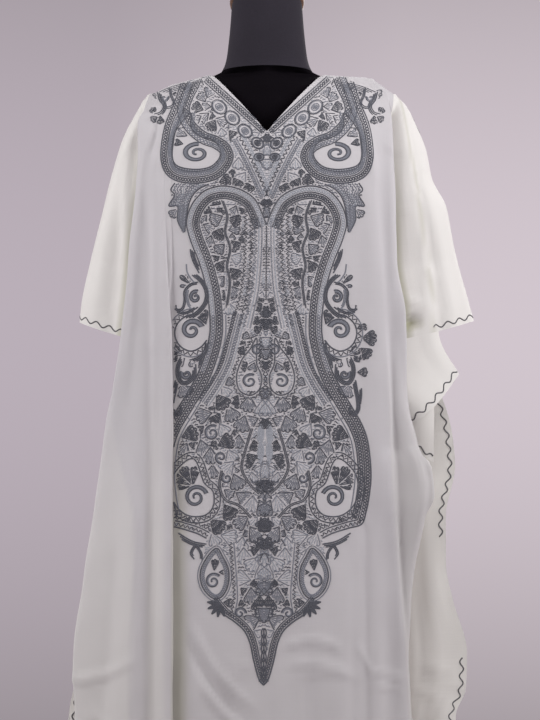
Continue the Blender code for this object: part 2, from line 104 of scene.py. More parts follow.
# %% Sums of sockets
class Value:
    """A socket that takes part in Python sums. Each sum adds a Math node."""

    def __init__(self, tree, socket):
        self.tree = tree
        self.socket = socket

    def maths(self, operation, first, second):
        made = self.tree.nodes.new("ShaderNodeMath")
        made.operation = operation
        for place, given in enumerate((first, second)):
            feed(made.inputs[place], given)
        return Value(self.tree, made.outputs[0])

    def __add__(self, other):
        return self.maths("ADD", self, other)

    def __sub__(self, other):
        return self.maths("SUBTRACT", self, other)

    def __rsub__(self, other):
        return self.maths("SUBTRACT", other, self)

    def __mul__(self, other):
        return self.maths("MULTIPLY", self, other)

    __radd__ = __add__
    __rmul__ = __mul__


def feed(socket, given):
    """Links a socket to a Value, or sets it to a number or a colour."""
    if isinstance(given, Value):
        given.tree.links.new(given.socket, socket)
    else:
        socket.default_value = given


# %% A finish and its nodes
WAVE = 0.314  # metres from one band of a wave pattern to the next, at a scale of 1


class Finish:
    """A material being made: its nodes and the shader that they feed."""

    def __init__(self, name, values, holder=None):
        self.made = holder or bpy.data.materials.new(name)
        self.made.use_nodes = True
        self.tree = self.made.node_tree
        self.shader = self.tree.nodes["Background" if holder else "Principled BSDF"]
        self.feed(values)

    def feed(self, values):
        """Gives the shader's sockets their values or links."""
        for name, value in values.items():
            feed(self.shader.inputs[name], value)

    def node(self, kind, settings, sockets, out=0):
        """Any other node: its type, its settings, what its sockets get, and which output."""
        made = self.tree.nodes.new("ShaderNode" + kind)
        for name, value in settings.items():
            if name == "stops":
                ramp = made.color_ramp
                while len(ramp.elements) < len(value):
                    ramp.elements.new(1.0)
                for stop, (place, colour) in zip(ramp.elements, value):
                    stop.position = place
                    stop.color = (*colour, 1.0)
            else:
                setattr(made, name, value)
        for name, value in sockets.items():
            feed(made.inputs[name], value)
        return Value(self.tree, made.outputs[out])

    def mix(self, amount, first, second):
        """A blend of two colours."""
        colours = [c if isinstance(c, Value) else (*c, 1.0) for c in (first, second)]
        return self.node(
            "Mix", {"data_type": "RGBA"}, {0: amount, 6: colours[0], 7: colours[1]}, out=2
        )

    def stretched(self, place, scale):
        """Places scaled by a factor along each of the three ways."""
        return self.node("Mapping", {}, {"Vector": place, "Scale": scale})

    def noise(self, place, scale, detail=2.0):
        """Smooth blotches, of about 1 / scale metres."""
        return self.node(
            "TexNoise", {}, {"Vector": place, "Scale": scale, "Detail": detail, "Roughness": 0.55}
        )

    def bands(self, way, place, scale, distortion=0.0, detail=2.0):
        """Even bands across one way, of WAVE / scale metres each."""
        sockets = {"Vector": place, "Scale": scale, "Distortion": distortion, "Detail": detail}
        return self.node("TexWave", {"bands_direction": way}, sockets, out=1)

    def finish(self, colour, height=None, strength=0.3, distance=0.001, roughness=None):
        """Feeds the shader its colour and, where given, its bump and roughness."""
        self.feed({"Base Color": colour})
        if height is not None:
            relief = {"Height": height, "Strength": strength, "Distance": distance}
            self.feed({"Normal": self.node("Bump", {}, relief)})
        if roughness is not None:
            self.feed({"Roughness": roughness})
        return self.made


# %% The surround
# The wall's light is painted into the surround: brighter to the right, darker above and below its
# brightest level. The surround also lights the scene.
WALL_LEFT = (0.490, 0.428, 0.480)
WALL_RIGHT = (0.640, 0.565, 0.615)
WALL_FALL = 9.5  # how fast the wall darkens away from its brightest level
BRIGHTEST_LEVEL = 0.03  # above the eye, as a slope
WALL_END = (0.240, 0.215, 0.225)  # and the colour that it darkens to
ROOM = (0.200, 0.190, 0.195)  # the side of the room that the picture is taken from

world = bpy.context.scene.world or bpy.data.worlds.new("room")
surround = Finish("surround", {"Strength": 1.0}, world)
bpy.context.scene.world = world
direction = surround.node("TexCoord", {}, {}, out=0)
across_wall, towards_wall, up_wall = (
    surround.node("SeparateXYZ", {}, {"Vector": direction}, out=k) for k in range(3)
)
wall = surround.node(
    "ValToRGB", {"stops": ((0.30, WALL_LEFT), (0.66, WALL_RIGHT))}, {"Fac": across_wall * 2.0 + 0.5}
)
gloom = (up_wall - BRIGHTEST_LEVEL) * (up_wall - BRIGHTEST_LEVEL) * WALL_FALL
wall = surround.mix(gloom, wall, WALL_END)
facing_wall = surround.node(
    "MapRange", {"interpolation_type": "SMOOTHSTEP"}, {0: towards_wall, 1: -0.3, 2: 0.8}
)
surround.feed({"Color": surround.mix(facing_wall, ROOM, wall)})
bpy.context.scene.view_settings.view_transform = "Standard"
print("surround", len(surround.tree.nodes), "nodes")

# %% Floor
FLOOR_RADIUS = 1.8
FLOOR_COLOUR = (0.46, 0.42, 0.44)
FLOOR_PALER = (0.50, 0.46, 0.48)


def deselect_all():
    """Leaves nothing selected, in object mode."""
    if bpy.context.object and bpy.context.object.mode != "OBJECT":
        bpy.ops.object.mode_set(mode="OBJECT")
    bpy.ops.object.select_all(action="DESELECT")


deselect_all()
bpy.ops.mesh.primitive_circle_add(vertices=96, radius=FLOOR_RADIUS, fill_type="NGON")
floor = bpy.context.object
floor.name = "floor"
floor_finish = Finish("pale_floor", {"Roughness": 0.8})
speckle = floor_finish.noise(floor_finish.node("TexCoord", {}, {}, out=3), 3.0)
floor_colour = floor_finish.mix(speckle, FLOOR_COLOUR, FLOOR_PALER)
floor.data.materials.append(floor_finish.finish(floor_colour))
print("floor", FLOOR_RADIUS)

# %% [markdown]
# ## The cut and the hang of the cloth
#
# One cloth 1.12 m wide is folded over the shoulders, so each level cut through the hanging
# kaftan is a ring: the front, a fold at each side, sleeves or wings, and the back. It could be
# draped by a cloth simulation, but the folds of this one are known from the picture, so the
# ring is stated at a few heights and read smoothly in between. These are the model's own
# values, and here they are sampled finely enough for the folds to run as curves.

# %% Sizes of the cut
HEM_HEIGHT = 0.085
NECK_POINT = 0.088  # half the width of the neck opening at the shoulder seam
V_BOTTOM = 1.3225  # height of the lowest point of the V-neck
BACK_NECK = 1.4200  # height of the back neck edge at its middle
SHOULDER_HEIGHT = 1.4285  # of the shoulder seam at the neck
SHOULDER_SLOPE = {-1: 0.25, 1: 0.06}  # fall of the seam per metre outward, left and right
NECK_RISE = 0.18  # rise of the seam's line inward, across the neck opening
TIP = 0.152  # where the shoulder seam starts to turn down
TIP_CURVE = 8.0  # and how fast it does, for each metre outward, squared
TIP_HEIGHT = 1.388  # the side folds open from this height down
TIP_ROUND_FROM = 1.300  # the side folds follow the round of the shoulder above this height

# Heights at which the hang is stated, at the side edges of the front and back.
ROWS = (
    1.400, 1.395, 1.384, 1.367, 1.345, 1.315, 1.275, 1.230, 1.180, 1.130, 1.085, 1.046,
    1.010, 0.965, 0.920, 0.880, 0.845, 0.815, 0.780, 0.745, 0.690, 0.610, 0.500, 0.340,
    HEM_HEIGHT,
)
LEVEL_FROM = 1.130  # the rows are level from this height down
TIP_FADE = 0.030  # and at the panels' side edges, rising to the seam over this distance
CUFF_ROW = 12  # the sleeves end at this row and the wings start below it

# %% Side folds
# How far the folds at the sides reach outward, how deep they lie before or behind the middle
# plane, and how far the cloth turns back inward behind them.
FOLD_HEAD = (
    "height", "front_out", "front_fore", "front_turn", "back_out", "back_fore", "back_turn"
)
SIDE_FOLD = {
    -1: (
        FOLD_HEAD,
        (1.4, 0.166, 0.034, -0.012, 0.166, 0.034, -0.012),
        (1.37, 0.183, 0.062, -0.004, 0.178, 0.062, -0.004),
        (1.343, 0.193, 0.072, 0.01, 0.182, 0.074, 0.006),
        (1.27, 0.19, 0.09, 0.022, 0.184, 0.092, 0.018),
        (1.166, 0.2, 0.104, 0.03, 0.192, 0.104, 0.024),
        (1.053, 0.21, 0.11, 0.034, 0.202, 0.108, 0.028),
        (0.948, 0.226, 0.112, 0.036, 0.214, 0.108, 0.03),
        (0.829, 0.245, 0.112, 0.038, 0.226, 0.108, 0.032),
        (0.675, 0.269, 0.112, 0.04, 0.24, 0.108, 0.034),
        (0.53, 0.286, 0.11, 0.042, 0.25, 0.108, 0.036),
        (0.453, 0.283, 0.11, 0.044, 0.256, 0.108, 0.036),
        (0.27, 0.297, 0.112, 0.046, 0.268, 0.11, 0.038),
        (HEM_HEIGHT, 0.314, 0.114, 0.048, 0.28, 0.112, 0.04),
    ),
    1: (
        FOLD_HEAD,
        (1.4, 0.18, 0.034, -0.014, 0.18, 0.034, -0.014),
        (1.37, 0.186, 0.06, -0.004, 0.182, 0.06, -0.004),
        (1.343, 0.188, 0.072, 0.01, 0.186, 0.072, 0.006),
        (1.275, 0.189, 0.09, 0.022, 0.186, 0.092, 0.018),
        (1.138, 0.192, 0.106, 0.03, 0.19, 0.104, 0.024),
        (1.05, 0.205, 0.112, 0.034, 0.2, 0.108, 0.028),
        (0.948, 0.206, 0.112, 0.034, 0.206, 0.108, 0.03),
        (0.862, 0.213, 0.114, 0.034, 0.21, 0.108, 0.03),
        (0.832, 0.241, 0.118, 0.05, 0.212, 0.108, 0.03),
        (0.788, 0.245, 0.118, 0.056, 0.214, 0.108, 0.032),
        (0.745, 0.224, 0.114, 0.04, 0.216, 0.108, 0.032),
        (0.678, 0.211, 0.11, 0.034, 0.218, 0.108, 0.034),
        (0.508, 0.208, 0.11, 0.034, 0.226, 0.108, 0.036),
        (0.453, 0.211, 0.11, 0.036, 0.232, 0.108, 0.036),
        (0.27, 0.222, 0.112, 0.038, 0.246, 0.11, 0.038),
        (HEM_HEIGHT, 0.236, 0.114, 0.04, 0.26, 0.112, 0.04),
    ),
}

# %% Pleat, hang and back
# The long pleat left of the middle: where its edge is, how far it laps over, how deep.
PLEAT = (
    ("height", "edge", "lap", "depth"),
    (1.4, -0.15, -0.012, 0.0),
    (1.23, -0.151, -0.01, 0.001),
    (1.13, -0.148, -0.008, 0.0046),
    (1.01, -0.139, 0.014, 0.0054),
    (0.9, -0.138, 0.026, 0.0055),
    (0.56, -0.138, 0.028, 0.006),
    (HEM_HEIGHT, -0.14, 0.03, 0.0065),
)

# How far the middle of the front and of the back stands out, and how much less it is at
# ROUND_AT from the middle.
ROUND_AT = 0.2
HANG = (
    ("height", "front", "front_round", "back", "back_round"),
    (1.4, 0.146, 0.05, 0.132, 0.04),
    (1.2, 0.148, 0.048, 0.134, 0.036),
    (1.0, 0.146, 0.038, 0.132, 0.03),
    (0.7, 0.146, 0.03, 0.136, 0.024),
    (HEM_HEIGHT, 0.15, 0.024, 0.146, 0.02),
)

# Stations across the back, and how far soft folds push each out of the even round.
BACK_WAVES = (
    (0.150, 0.000), (0.118, -0.006), (NECK_POINT, 0.004), (0.058, -0.003), (0.000, -0.004),
    (-0.058, 0.004), (-NECK_POINT, -0.004), (-0.118, 0.002), (-0.150, 0.000),
)

# %% Sleeves and wings
# The sleeves hang from the shoulder fold, which runs on down their outer edge.
SLEEVE_EDGE = {
    -1: (
        ("height", "out"),
        (1.390, 0.191), (1.363, 0.205), (1.329, 0.222), (1.282, 0.236), (1.190, 0.259),
        (1.081, 0.285), (1.046, 0.289),
    ),
    1: (
        ("height", "out"),
        (1.393, 0.203), (1.382, 0.214), (1.354, 0.228), (1.312, 0.246), (1.269, 0.254),
        (1.225, 0.276), (1.157, 0.290), (1.104, 0.304), (1.046, 0.320),
    ),
}
SLEEVE_TOP = {-1: 1.390, 1: 1.393}  # of the fold at the shoulder tip
CUFF_HEIGHT = {-1: 1.046, 1: 1.048}  # of the fold at the cuff
SLEEVE_PUFF = 0.016  # how far the sleeve's two sides stand apart, at the most

# Below the cuffs the side edges hang as wings from the side seams.
WING_HEAD = ("height", "front_out", "front_fore", "back_out", "back_fore")
WING = {
    -1: (
        WING_HEAD,
        (1.01, 0.206, 0.012, 0.206, 0.012),
        (0.946, 0.218, 0.014, 0.222, 0.012),
        (0.829, 0.232, 0.014, 0.236, 0.014),
        (0.675, 0.252, 0.016, 0.25, 0.018),
        (0.53, 0.282, 0.02, 0.266, 0.022),
        (0.453, 0.303, 0.022, 0.274, 0.024),
        (0.27, 0.316, 0.026, 0.29, 0.03),
        (HEM_HEIGHT, 0.332, 0.03, 0.304, 0.034),
    ),
    1: (
        WING_HEAD,
        (1.01, 0.214, 0.01, 0.212, 0.012),
        (0.926, 0.272, 0.008, 0.262, 0.012),
        (0.869, 0.287, 0.006, 0.274, 0.014),
        (0.824, 0.291, 0.006, 0.276, 0.014),
        (0.746, 0.276, 0.01, 0.266, 0.016),
        (0.672, 0.276, 0.012, 0.264, 0.018),
        (0.62, 0.286, 0.014, 0.27, 0.02),
        (0.537, 0.308, 0.016, 0.284, 0.022),
        (0.483, 0.306, 0.018, 0.286, 0.024),
        (0.441, 0.29, 0.02, 0.284, 0.026),
        (0.27, 0.306, 0.026, 0.3, 0.03),
        (HEM_HEIGHT, 0.326, 0.03, 0.316, 0.034),
    ),
}
SIDE_SEAM_OUT = 0.205  # the side seams pinch front and back together at least this far out

# %% [markdown]
# ## Reading the tables
#
# A table has a head, with the names of its columns, and states a fold at a few heights.
# Straight lines between them would leave kinks, so a column is read with a curve that never
# overshoots. Across the cloth the stations are rounded in the same way, by a curve that
# touches each leg of their outline.


# %% Curves through a table
def column(table, name, heights):
    """One column of a table, read smoothly at any heights."""
    head, *rows = table
    rows = np.array(sorted(rows))
    z = rows[:, 0]
    v = rows[:, head.index(name)]
    slope = np.diff(v) / np.diff(z)
    ends = np.concatenate([[slope[0]], slope, [slope[-1]]])
    same_way = ends[:-1] * ends[1:] > 0
    mean = 2 * ends[:-1] * ends[1:] / np.where(same_way, ends[:-1] + ends[1:], 1.0)
    tangent = np.where(same_way, mean, 0.0)
    h = np.clip(np.asarray(heights, float), z[0], z[-1])
    k = np.clip(np.searchsorted(z, h) - 1, 0, len(z) - 2)
    step = z[k + 1] - z[k]
    t = (h - z[k]) / step
    return (
        v[k] * (1 + 2 * t) * (1 - t) ** 2
        + tangent[k] * step * t * (1 - t) ** 2
        + v[k + 1] * t * t * (3 - 2 * t)
        - tangent[k + 1] * step * t * t * (1 - t)
    )


def row_at(table, height):
    """Every column of a table at one height."""
    return [float(column(table, name, height)) for name in table[0][1:]]


def rounded(stations, per_station):
    """Points along a smooth curve that touches every leg of the stations' outline."""
    line = []
    last = len(stations) - 2
    for k in range(1, last + 1):
        start = stations[0] if k == 1 else (stations[k - 1] + stations[k]) / 2
        end = stations[-1] if k == last else (stations[k] + stations[k + 1]) / 2
        for i in range(per_station):
            t = i / per_station
            line.append((1 - t) ** 2 * start + 2 * t * (1 - t) * stations[k] + t * t * end)
    line.append(stations[-1])
    return np.array(line)


# %% The shoulder seam and the two depths
def seam_height(x):
    """Height of the shoulder seam at x, which also rounds off the shoulder tips."""
    out = abs(x)
    if out < NECK_POINT:
        return SHOULDER_HEIGHT + NECK_RISE * (NECK_POINT - out)
    fall = SHOULDER_SLOPE[1 if x > 0 else -1] * (out - NECK_POINT)
    return SHOULDER_HEIGHT - fall - TIP_CURVE * max(0.0, out - TIP) ** 2


SHOULDER_ROUND = 0.20  # the cloth rounds over to the seam within this distance of it
FULLNESS = {"front": 0.55, "back": 0.36}  # how flatly each does so: a half would be an ellipse
FACING = {"front": -1, "back": 1}  # which way each looks along y


def clamped(value):
    """The value, held between 0 and 1."""
    return np.clip(value, 0.0, 1.0)


def depth_at(which, x, z):
    """How far the front or back stands from the middle plane, inside its side folds."""
    middle = column(HANG, which, z)
    roundness = column(HANG, which + "_round", z)
    drop = clamped((seam_height(x) - z) / SHOULDER_ROUND)
    return (middle - roundness * (x / ROUND_AT) ** 2) * (1 - (1 - drop) ** 2) ** FULLNESS[which]


# %% Stations round the ring
TIP_OPENS = 0.045  # the side folds open to their full depth over this drop
TIP_SHARE = 0.96  # of the panel's depth that they keep round the shoulder
MOST_BEND = 0.010  # how far a fold is rounded where it turns back
FULL_TURN = 0.02  # and it is rounded fully where it turns back this far
END_SHARE = 0.62  # of a fold's depth is left where the cloth turned back behind it ends
LEAST_FORE = 0.003  # and at least this much
LEAST_OUT = 0.17  # the left fold counts as at least this far out, for the flank's stations
INSIDE_FOLD = 0.004  # which end this far inside it
LAP_FADES = 0.008  # the pleat's layers part over a lap from minus this to plus this
FLANKS = (0.22, 0.58)  # two stations from the left fold to the pleat's edge, as shares
PLAIN = (-0.132, -0.088, -0.044, 0.0, 0.044, 0.088)  # stations across the middle of the front
RIGHT_OF_PLAIN = (0.132, 0.156)
SOFT_WAVES = (-0.004, 0.002, -0.003, 0.005, -0.004)  # left, left, right, right, right
FROM_CHEST = 1.25  # the soft waves start at this height, and grow over WAVES_GROW
WAVES_GROW = {"front": 0.3, "back": 0.4}
BACK_SPREAD = 0.25  # the back's stations stand further apart by this share below


def fold_of(side, z, which):
    """Out, fore and turn of a side fold at the height z, at the front or the back."""
    out, fore, turn = (
        float(column(SIDE_FOLD[side], which + name, z)) for name in ("_out", "_fore", "_turn")
    )
    drop = clamped((TIP_HEIGHT - z) / TIP_OPENS)
    fore *= (1 - (1 - drop) ** 2) ** 0.5
    if z > TIP_ROUND_FROM:
        fore = max(fore, TIP_SHARE * float(depth_at(which, side * out, z)))
    return out, fore, turn


def side_stations(side, z, which):
    """Stations round a side fold, from the panel outward and back in behind it."""
    out, fore, turn = fold_of(side, z, which)
    bend = MOST_BEND * clamped(turn / FULL_TURN)
    end_fore = max(fore * END_SHARE, LEAST_FORE)
    behind = (side * (out - turn * 0.40), fore - (fore - end_fore) * 0.50)
    end = (side * (out - turn), end_fore)
    return [
        (side * out, fore + bend / 2),
        (side * out, fore - bend / 2),
        behind,
        ((behind[0] + end[0]) / 2, (behind[1] + end[1]) / 2),
        end,
    ]


def front_stations(z):
    """The front's outline from above at one height, from its left edge to its right."""
    edge, lap, depth = row_at(PLEAT, z)
    under = edge - lap
    left_out, left_fore, _ = fold_of(-1, z, "front")
    right_out, right_fore, _ = fold_of(1, z, "front")
    outer = max(left_out, LEAST_OUT) - INSIDE_FOLD
    outer_flank, inner_flank = (-outer + share * (outer + edge) for share in FLANKS)
    at_edge = float(depth_at("front", edge, z))
    lapping = clamped((lap + LAP_FADES) / (2 * LAP_FADES))
    at_under = lapping * at_edge + (1 - lapping) * float(depth_at("front", under, z))
    near_right, far_right = (float(depth_at("front", x, z)) for x in RIGHT_OF_PLAIN)
    beyond = 0.5 * (RIGHT_OF_PLAIN[1] + right_out)
    low = clamped((FROM_CHEST - z) / WAVES_GROW["front"])
    waves = [size * low for size in SOFT_WAVES]
    return [
        *side_stations(-1, z, "front")[::-1],
        (outer_flank, 0.5 * (at_edge + left_fore) + 0.5 * depth + waves[0]),
        (inner_flank, 0.8 * at_edge + 0.2 * left_fore + 1.6 * depth + waves[1]),
        (edge, at_edge + 2 * depth),
        (edge, at_edge + depth),
        (under, at_under + depth),
        (under, at_under),
        *((x, float(depth_at("front", x, z))) for x in PLAIN),
        (RIGHT_OF_PLAIN[0], near_right + waves[2]),
        (RIGHT_OF_PLAIN[1], far_right + waves[3]),
        (beyond, 0.5 * (far_right + right_fore) + waves[4]),
        *side_stations(1, z, "front"),
    ]


def back_stations(z):
    """The back's outline from above, from its right edge to its left."""
    low = clamped((FROM_CHEST - z) / WAVES_GROW["back"])
    spread = 1 + BACK_SPREAD * low
    return [
        *side_stations(1, z, "back")[::-1],
        *((x * spread, float(depth_at("back", x, z)) + wave * low) for x, wave in BACK_WAVES),
        *side_stations(-1, z, "back"),
    ]


def front_top(x):
    """Height of the front's cut edge: the V-neck, then the shoulder seam."""
    if abs(x) >= NECK_POINT:
        return seam_height(x)
    return V_BOTTOM + (SHOULDER_HEIGHT - V_BOTTOM) * abs(x) / NECK_POINT


def back_top(x):
    """Height of the back's cut edge: a shallow scoop, then the shoulder seam."""
    if abs(x) >= NECK_POINT:
        return seam_height(x)
    return BACK_NECK + (SHOULDER_HEIGHT - BACK_NECK) * (x / NECK_POINT) ** 2


# %% Rows of points for a panel
ROW_STEP = 0.0075  # the most that two rows of points stand apart
THINNEST = 0.0003  # the gap that pinched layers keep
SEAM_SLACK = 0.004  # the seam starts this far inside the neck point


def finer(heights):
    """The heights again, with more in between, so that no step is over ROW_STEP."""
    found = [heights[0]]
    for high, low in zip(heights, heights[1:]):
        steps = max(1, math.ceil((high - low) / ROW_STEP - 0.01))
        found += [high + (low - high) * (k + 1) / steps for k in range(steps)]
    return found


def panel_points(which, stations_at, top_at, per_station):
    """Points of the front or back panel, in rows from the shoulder seam to the hem."""
    facing = FACING[which]
    top = rounded(np.array(stations_at(ROWS[0])), per_station)
    cut = np.array([top_at(x) for x, _ in top])
    from_edge = np.minimum(abs(top[:, 0] - top[0, 0]), abs(top[:, 0] - top[-1, 0]))
    shift = (cut - ROWS[0]) * np.minimum(from_edge / TIP_FADE, 1.0)
    grid = []
    for level in finer(ROWS):
        fade = max(0.0, (level - LEVEL_FROM) / (ROWS[0] - LEVEL_FROM))
        if fade == 0.0:
            ring = rounded(np.array(stations_at(level)), per_station)
            grid.append([(x, facing * depth, level) for x, depth in ring])
            continue
        row = []
        for k, amount in enumerate(shift):
            z = level + amount * fade
            x, depth = rounded(np.array(stations_at(z)), per_station)[k]
            row.append((x, facing * depth, z))
        grid.append(row)
    points = np.array(grid)
    on_seam = np.abs(points[0, :, 0]) >= NECK_POINT - SEAM_SLACK
    points[0, on_seam, 1] = facing * THINNEST / 2
    return points


def ring_end(side, z, which):
    """Where a panel's side edge ends, and the way it runs there."""
    start, stop = (
        np.array([x, FACING[which] * depth]) for x, depth in side_stations(side, z, which)[-2:]
    )
    way = stop - start
    return stop, way / max(np.linalg.norm(way), 1e-6)


# %% Rows of points for a sleeve and a wing
SEAM_HALF = 0.004  # half the width of the strip that a side seam pinches
SEAM_INSIDE = 0.02  # the side seam stays this far inside the cloth's edge
SLEEVE_OPENS = 0.08  # a sleeve opens from its tip over this share of its length
LEAST_PUFF = 0.004
MOST_REACH = 0.020  # how far a sleeve goes on in the way that the panel's edge runs


def sleeve_points(side, per_station):
    """Points of a sleeve, from the front panel's edge round to the back panel's.

    The rows fan out from the shoulder tip, where front and back meet along the fold.
    """
    grid = []
    for level in finer(ROWS[: CUFF_ROW + 1]):
        share = (ROWS[0] - level) / (ROWS[0] - ROWS[CUFF_ROW])
        opened = min(share / SLEEVE_OPENS, 1.0)
        apex_z = SLEEVE_TOP[side] * (1 - share) + CUFF_HEIGHT[side] * share
        apex = float(column(SLEEVE_EDGE[side], "out", apex_z))
        puff = SLEEVE_PUFF * math.sin(math.pi * min(1.4 * share, 1.0)) + LEAST_PUFF * opened
        halves = []
        for which, facing in FACING.items():
            end, way = ring_end(side, level, which)
            if share == 0.0:
                end = np.array([end[0], facing * THINNEST / 2])
                way = np.array([float(side), 0.0])
            out = abs(end[0])
            slope = (apex_z - level) * (1 - share)
            reach = min(MOST_REACH, 0.30 * (apex - out) + 0.003)
            middle = np.array([side * (0.55 * apex + 0.45 * out), 0.45 * end[1] + facing * puff])
            fold = facing * (THINNEST / 2 + (0.006 + 0.5 * puff) * opened)
            halves.append([
                np.append(end, level),
                np.append(end + way * reach / 2, level + 0.1 * slope),
                np.append(end + way * reach, level + 0.2 * slope),
                np.append(middle, 0.5 * (level + apex_z)),
                np.array([side * apex, fold, apex_z]),
            ])
        row = rounded(np.array(halves[0] + halves[1][::-1]), per_station)
        grid.append(row if side > 0 else row[::-1])
    return np.array(grid)


def wing_points(side, which, per_station):
    """Points of a wing, from the panel's edge past the side seam to the cloth's edge."""
    facing = FACING[which]
    grid = []
    for level in finer(ROWS[CUFF_ROW + 1 :]):
        end, way = ring_end(side, level, which)
        out, fore = (float(column(WING[side], which + name, level)) for name in ("_out", "_fore"))
        seam = min(SIDE_SEAM_OUT, out - SEAM_INSIDE)
        beyond = (
            (seam - 0.022, 0.020),
            (seam - SEAM_HALF, THINNEST / 2),
            (seam + SEAM_HALF, THINNEST / 2),
            (0.5 * (seam + out), 0.8 * fore),
            (out, fore),
        )
        stations = [end, end + way * 0.007, end + way * 0.014]
        stations += [np.array([side * x, facing * depth]) for x, depth in beyond]
        row = rounded(np.array(stations), per_station)
        row = np.column_stack([row, np.full(len(row), level)])
        grid.append(row if side * facing < 0 else row[::-1])
    return np.array(grid)


# %% The cascade at the right cuff
# The right sleeve's cuff falls in a cascade of two flaps between the sleeve and the wing.
# Each row is a station along a flap's lower edge: how far out, how far fore, how high.
UPPER_FLAP = (
    (0.190, 0.048, 0.882), (0.214, 0.054, 0.886), (0.240, 0.062, 0.904), (0.266, 0.050, 0.930),
    (0.280, 0.038, 0.948), (0.294, 0.028, 0.966),
)
LOWER_FLAP = (
    (0.190, 0.042, 0.868), (0.212, 0.046, 0.860), (0.236, 0.044, 0.844), (0.254, 0.036, 0.832),
)
UPPER_FLAP_COLUMNS = (6, 25)  # the sleeve's columns that the upper flap hangs from
LOWER_FLAP_COLUMNS = (0, 10)  # the upper flap's columns that the lower one hangs from


def edge_line(table, count):
    """Points along a flap's lower edge, as many as the flap has columns."""
    line = rounded(np.array([(out, -fore, z) for out, fore, z in table]), 8)
    places = np.linspace(0, len(line) - 1, count)
    return np.stack([np.interp(places, range(len(line)), c) for c in line.T], axis=-1)


def flap_points(top, table, rows):
    """Points of a flap, which starts straight down and swings out to its lower edge."""
    low = edge_line(table, len(top))
    drop = np.linalg.norm(low - top, axis=1, keepdims=True) * (0, 0, -1.0)
    grid = []
    for t in np.linspace(0.0, 1.0, rows + 1):
        swung = (low - top) * t * t
        grid.append(top + swung * (2 - t) + (drop * t + swung) * (1 - t) ** 2)
    return np.array(grid)


# %% [markdown]
# ## Creases and the made-up sheet
#
# Besides its large folds, hung cloth has soft creases where it is pulled from a shoulder or
# swings in below a fold. Each is given as a line on the piece, with its width and
# height: a ridge where the height is positive and a trough where it isn't. A grid is carried
# onto the points, pushed out along its own normals by the creases, and given its thickness.

# %% Long folds of the front
# Each row says where a fold is at a height, how far it stands out there, and how far it
# reaches to its left and its right. The head is added where the tables are read.
LONG_HEAD = ("height", "at", "size", "left", "right")
# The facet left of the pleat
FACET = (
    (0.94, -0.236, 0.0, 0.02, 0.01),
    (0.895, -0.2236, 0.003, 0.03, 0.01),
    (0.825, -0.207, 0.005, 0.04, 0.013),
    (0.75, -0.19, 0.0054, 0.046, 0.013),
    (0.682, -0.19, 0.0052, 0.05, 0.012),
    (0.564, -0.194, 0.0056, 0.05, 0.011),
    (0.458, -0.196, 0.006, 0.05, 0.011),
    (HEM_HEIGHT, -0.207, 0.008, 0.05, 0.012),
)
# The long line down the right side: lit to its left and shaded to its right
RIGHT_LINE = (
    (1.34, 0.15, 0.0, 0.018, 0.012),
    (1.229, 0.1555, 0.0024, 0.02, 0.012),
    (1.075, 0.168, 0.0032, 0.024, 0.011),
    (0.958, 0.175, 0.0062, 0.024, 0.006),
    (0.83, 0.18, 0.008, 0.026, 0.005),
    (0.704, 0.189, 0.008, 0.026, 0.005),
    (0.64, 0.1945, 0.008, 0.026, 0.005),
    (0.54, 0.203, 0.006, 0.024, 0.006),
    (HEM_HEIGHT, 0.218, 0.006, 0.024, 0.008),
)
FRONT_FOLDS = (
    FACET,
    # the ridge beside the pleat's edge, and the hollow between the two
    (
        (1.3, -0.16, 0.0, 0.014, 0.012), (1.2, -0.158, 0.003, 0.014, 0.012),
        (0.8, -0.156, 0.004, 0.012, 0.012), (HEM_HEIGHT, -0.158, 0.006, 0.014, 0.012),
    ),
    (
        (1.25, -0.176, 0.0, 0.014, 0.008), (1.15, -0.174, -0.003, 0.014, 0.008),
        (0.86, -0.172, -0.0026, 0.012, 0.008), (0.7, -0.17, -0.0022, 0.01, 0.008),
        (HEM_HEIGHT, -0.176, -0.0034, 0.01, 0.009),
    ),
    # the left edge's own fold, from the shoulder
    (
        (1.34, -0.176, 0.0, 0.012, 0.01), (1.25, -0.188, 0.004, 0.014, 0.008),
        (1.05, -0.2, 0.004, 0.014, 0.01), (0.9, -0.214, 0.0, 0.014, 0.01),
    ),
    RIGHT_LINE,
    # the cloth right of that line rises again to the edge, so it faces away from the window
    (
        (1.02, 0.19, 0.0, 0.018, 0.008), (0.94, 0.196, 0.005, 0.024, 0.008),
        (0.86, 0.214, 0.009, 0.034, 0.008), (0.8, 0.229, 0.011, 0.048, 0.008),
        (0.72, 0.216, 0.008, 0.034, 0.008), (0.64, 0.208, 0.004, 0.014, 0.008),
        (0.54, 0.212, 0.0, 0.01, 0.008),
    ),
    # soft columns of the lower half
    (
        (0.9, 0.148, 0.0, 0.012, 0.014), (0.7, 0.146, -0.0045, 0.012, 0.014),
        (HEM_HEIGHT, 0.15, -0.005, 0.014, 0.016),
    ),
    (
        (0.7, 0.118, 0.0, 0.02, 0.014), (0.56, 0.112, 0.0045, 0.022, 0.014),
        (HEM_HEIGHT, 0.104, 0.008, 0.026, 0.016),
    ),
    (
        (0.6, 0.06, 0.0, 0.016, 0.02), (0.45, 0.062, -0.004, 0.016, 0.02),
        (HEM_HEIGHT, 0.066, -0.006, 0.018, 0.02),
    ),
    (
        (0.56, 0.02, 0.0, 0.022, 0.018), (0.42, 0.022, 0.004, 0.022, 0.018),
        (HEM_HEIGHT, 0.026, 0.007, 0.022, 0.02),
    ),
    (
        (0.6, -0.108, 0.0, 0.012, 0.018), (0.48, -0.104, 0.004, 0.012, 0.02),
        (HEM_HEIGHT, -0.1, 0.006, 0.014, 0.024),
    ),
    (
        (0.52, -0.06, 0.0, 0.018, 0.014), (0.4, -0.058, -0.0045, 0.018, 0.014),
        (HEM_HEIGHT, -0.052, -0.006, 0.02, 0.016),
    ),
)

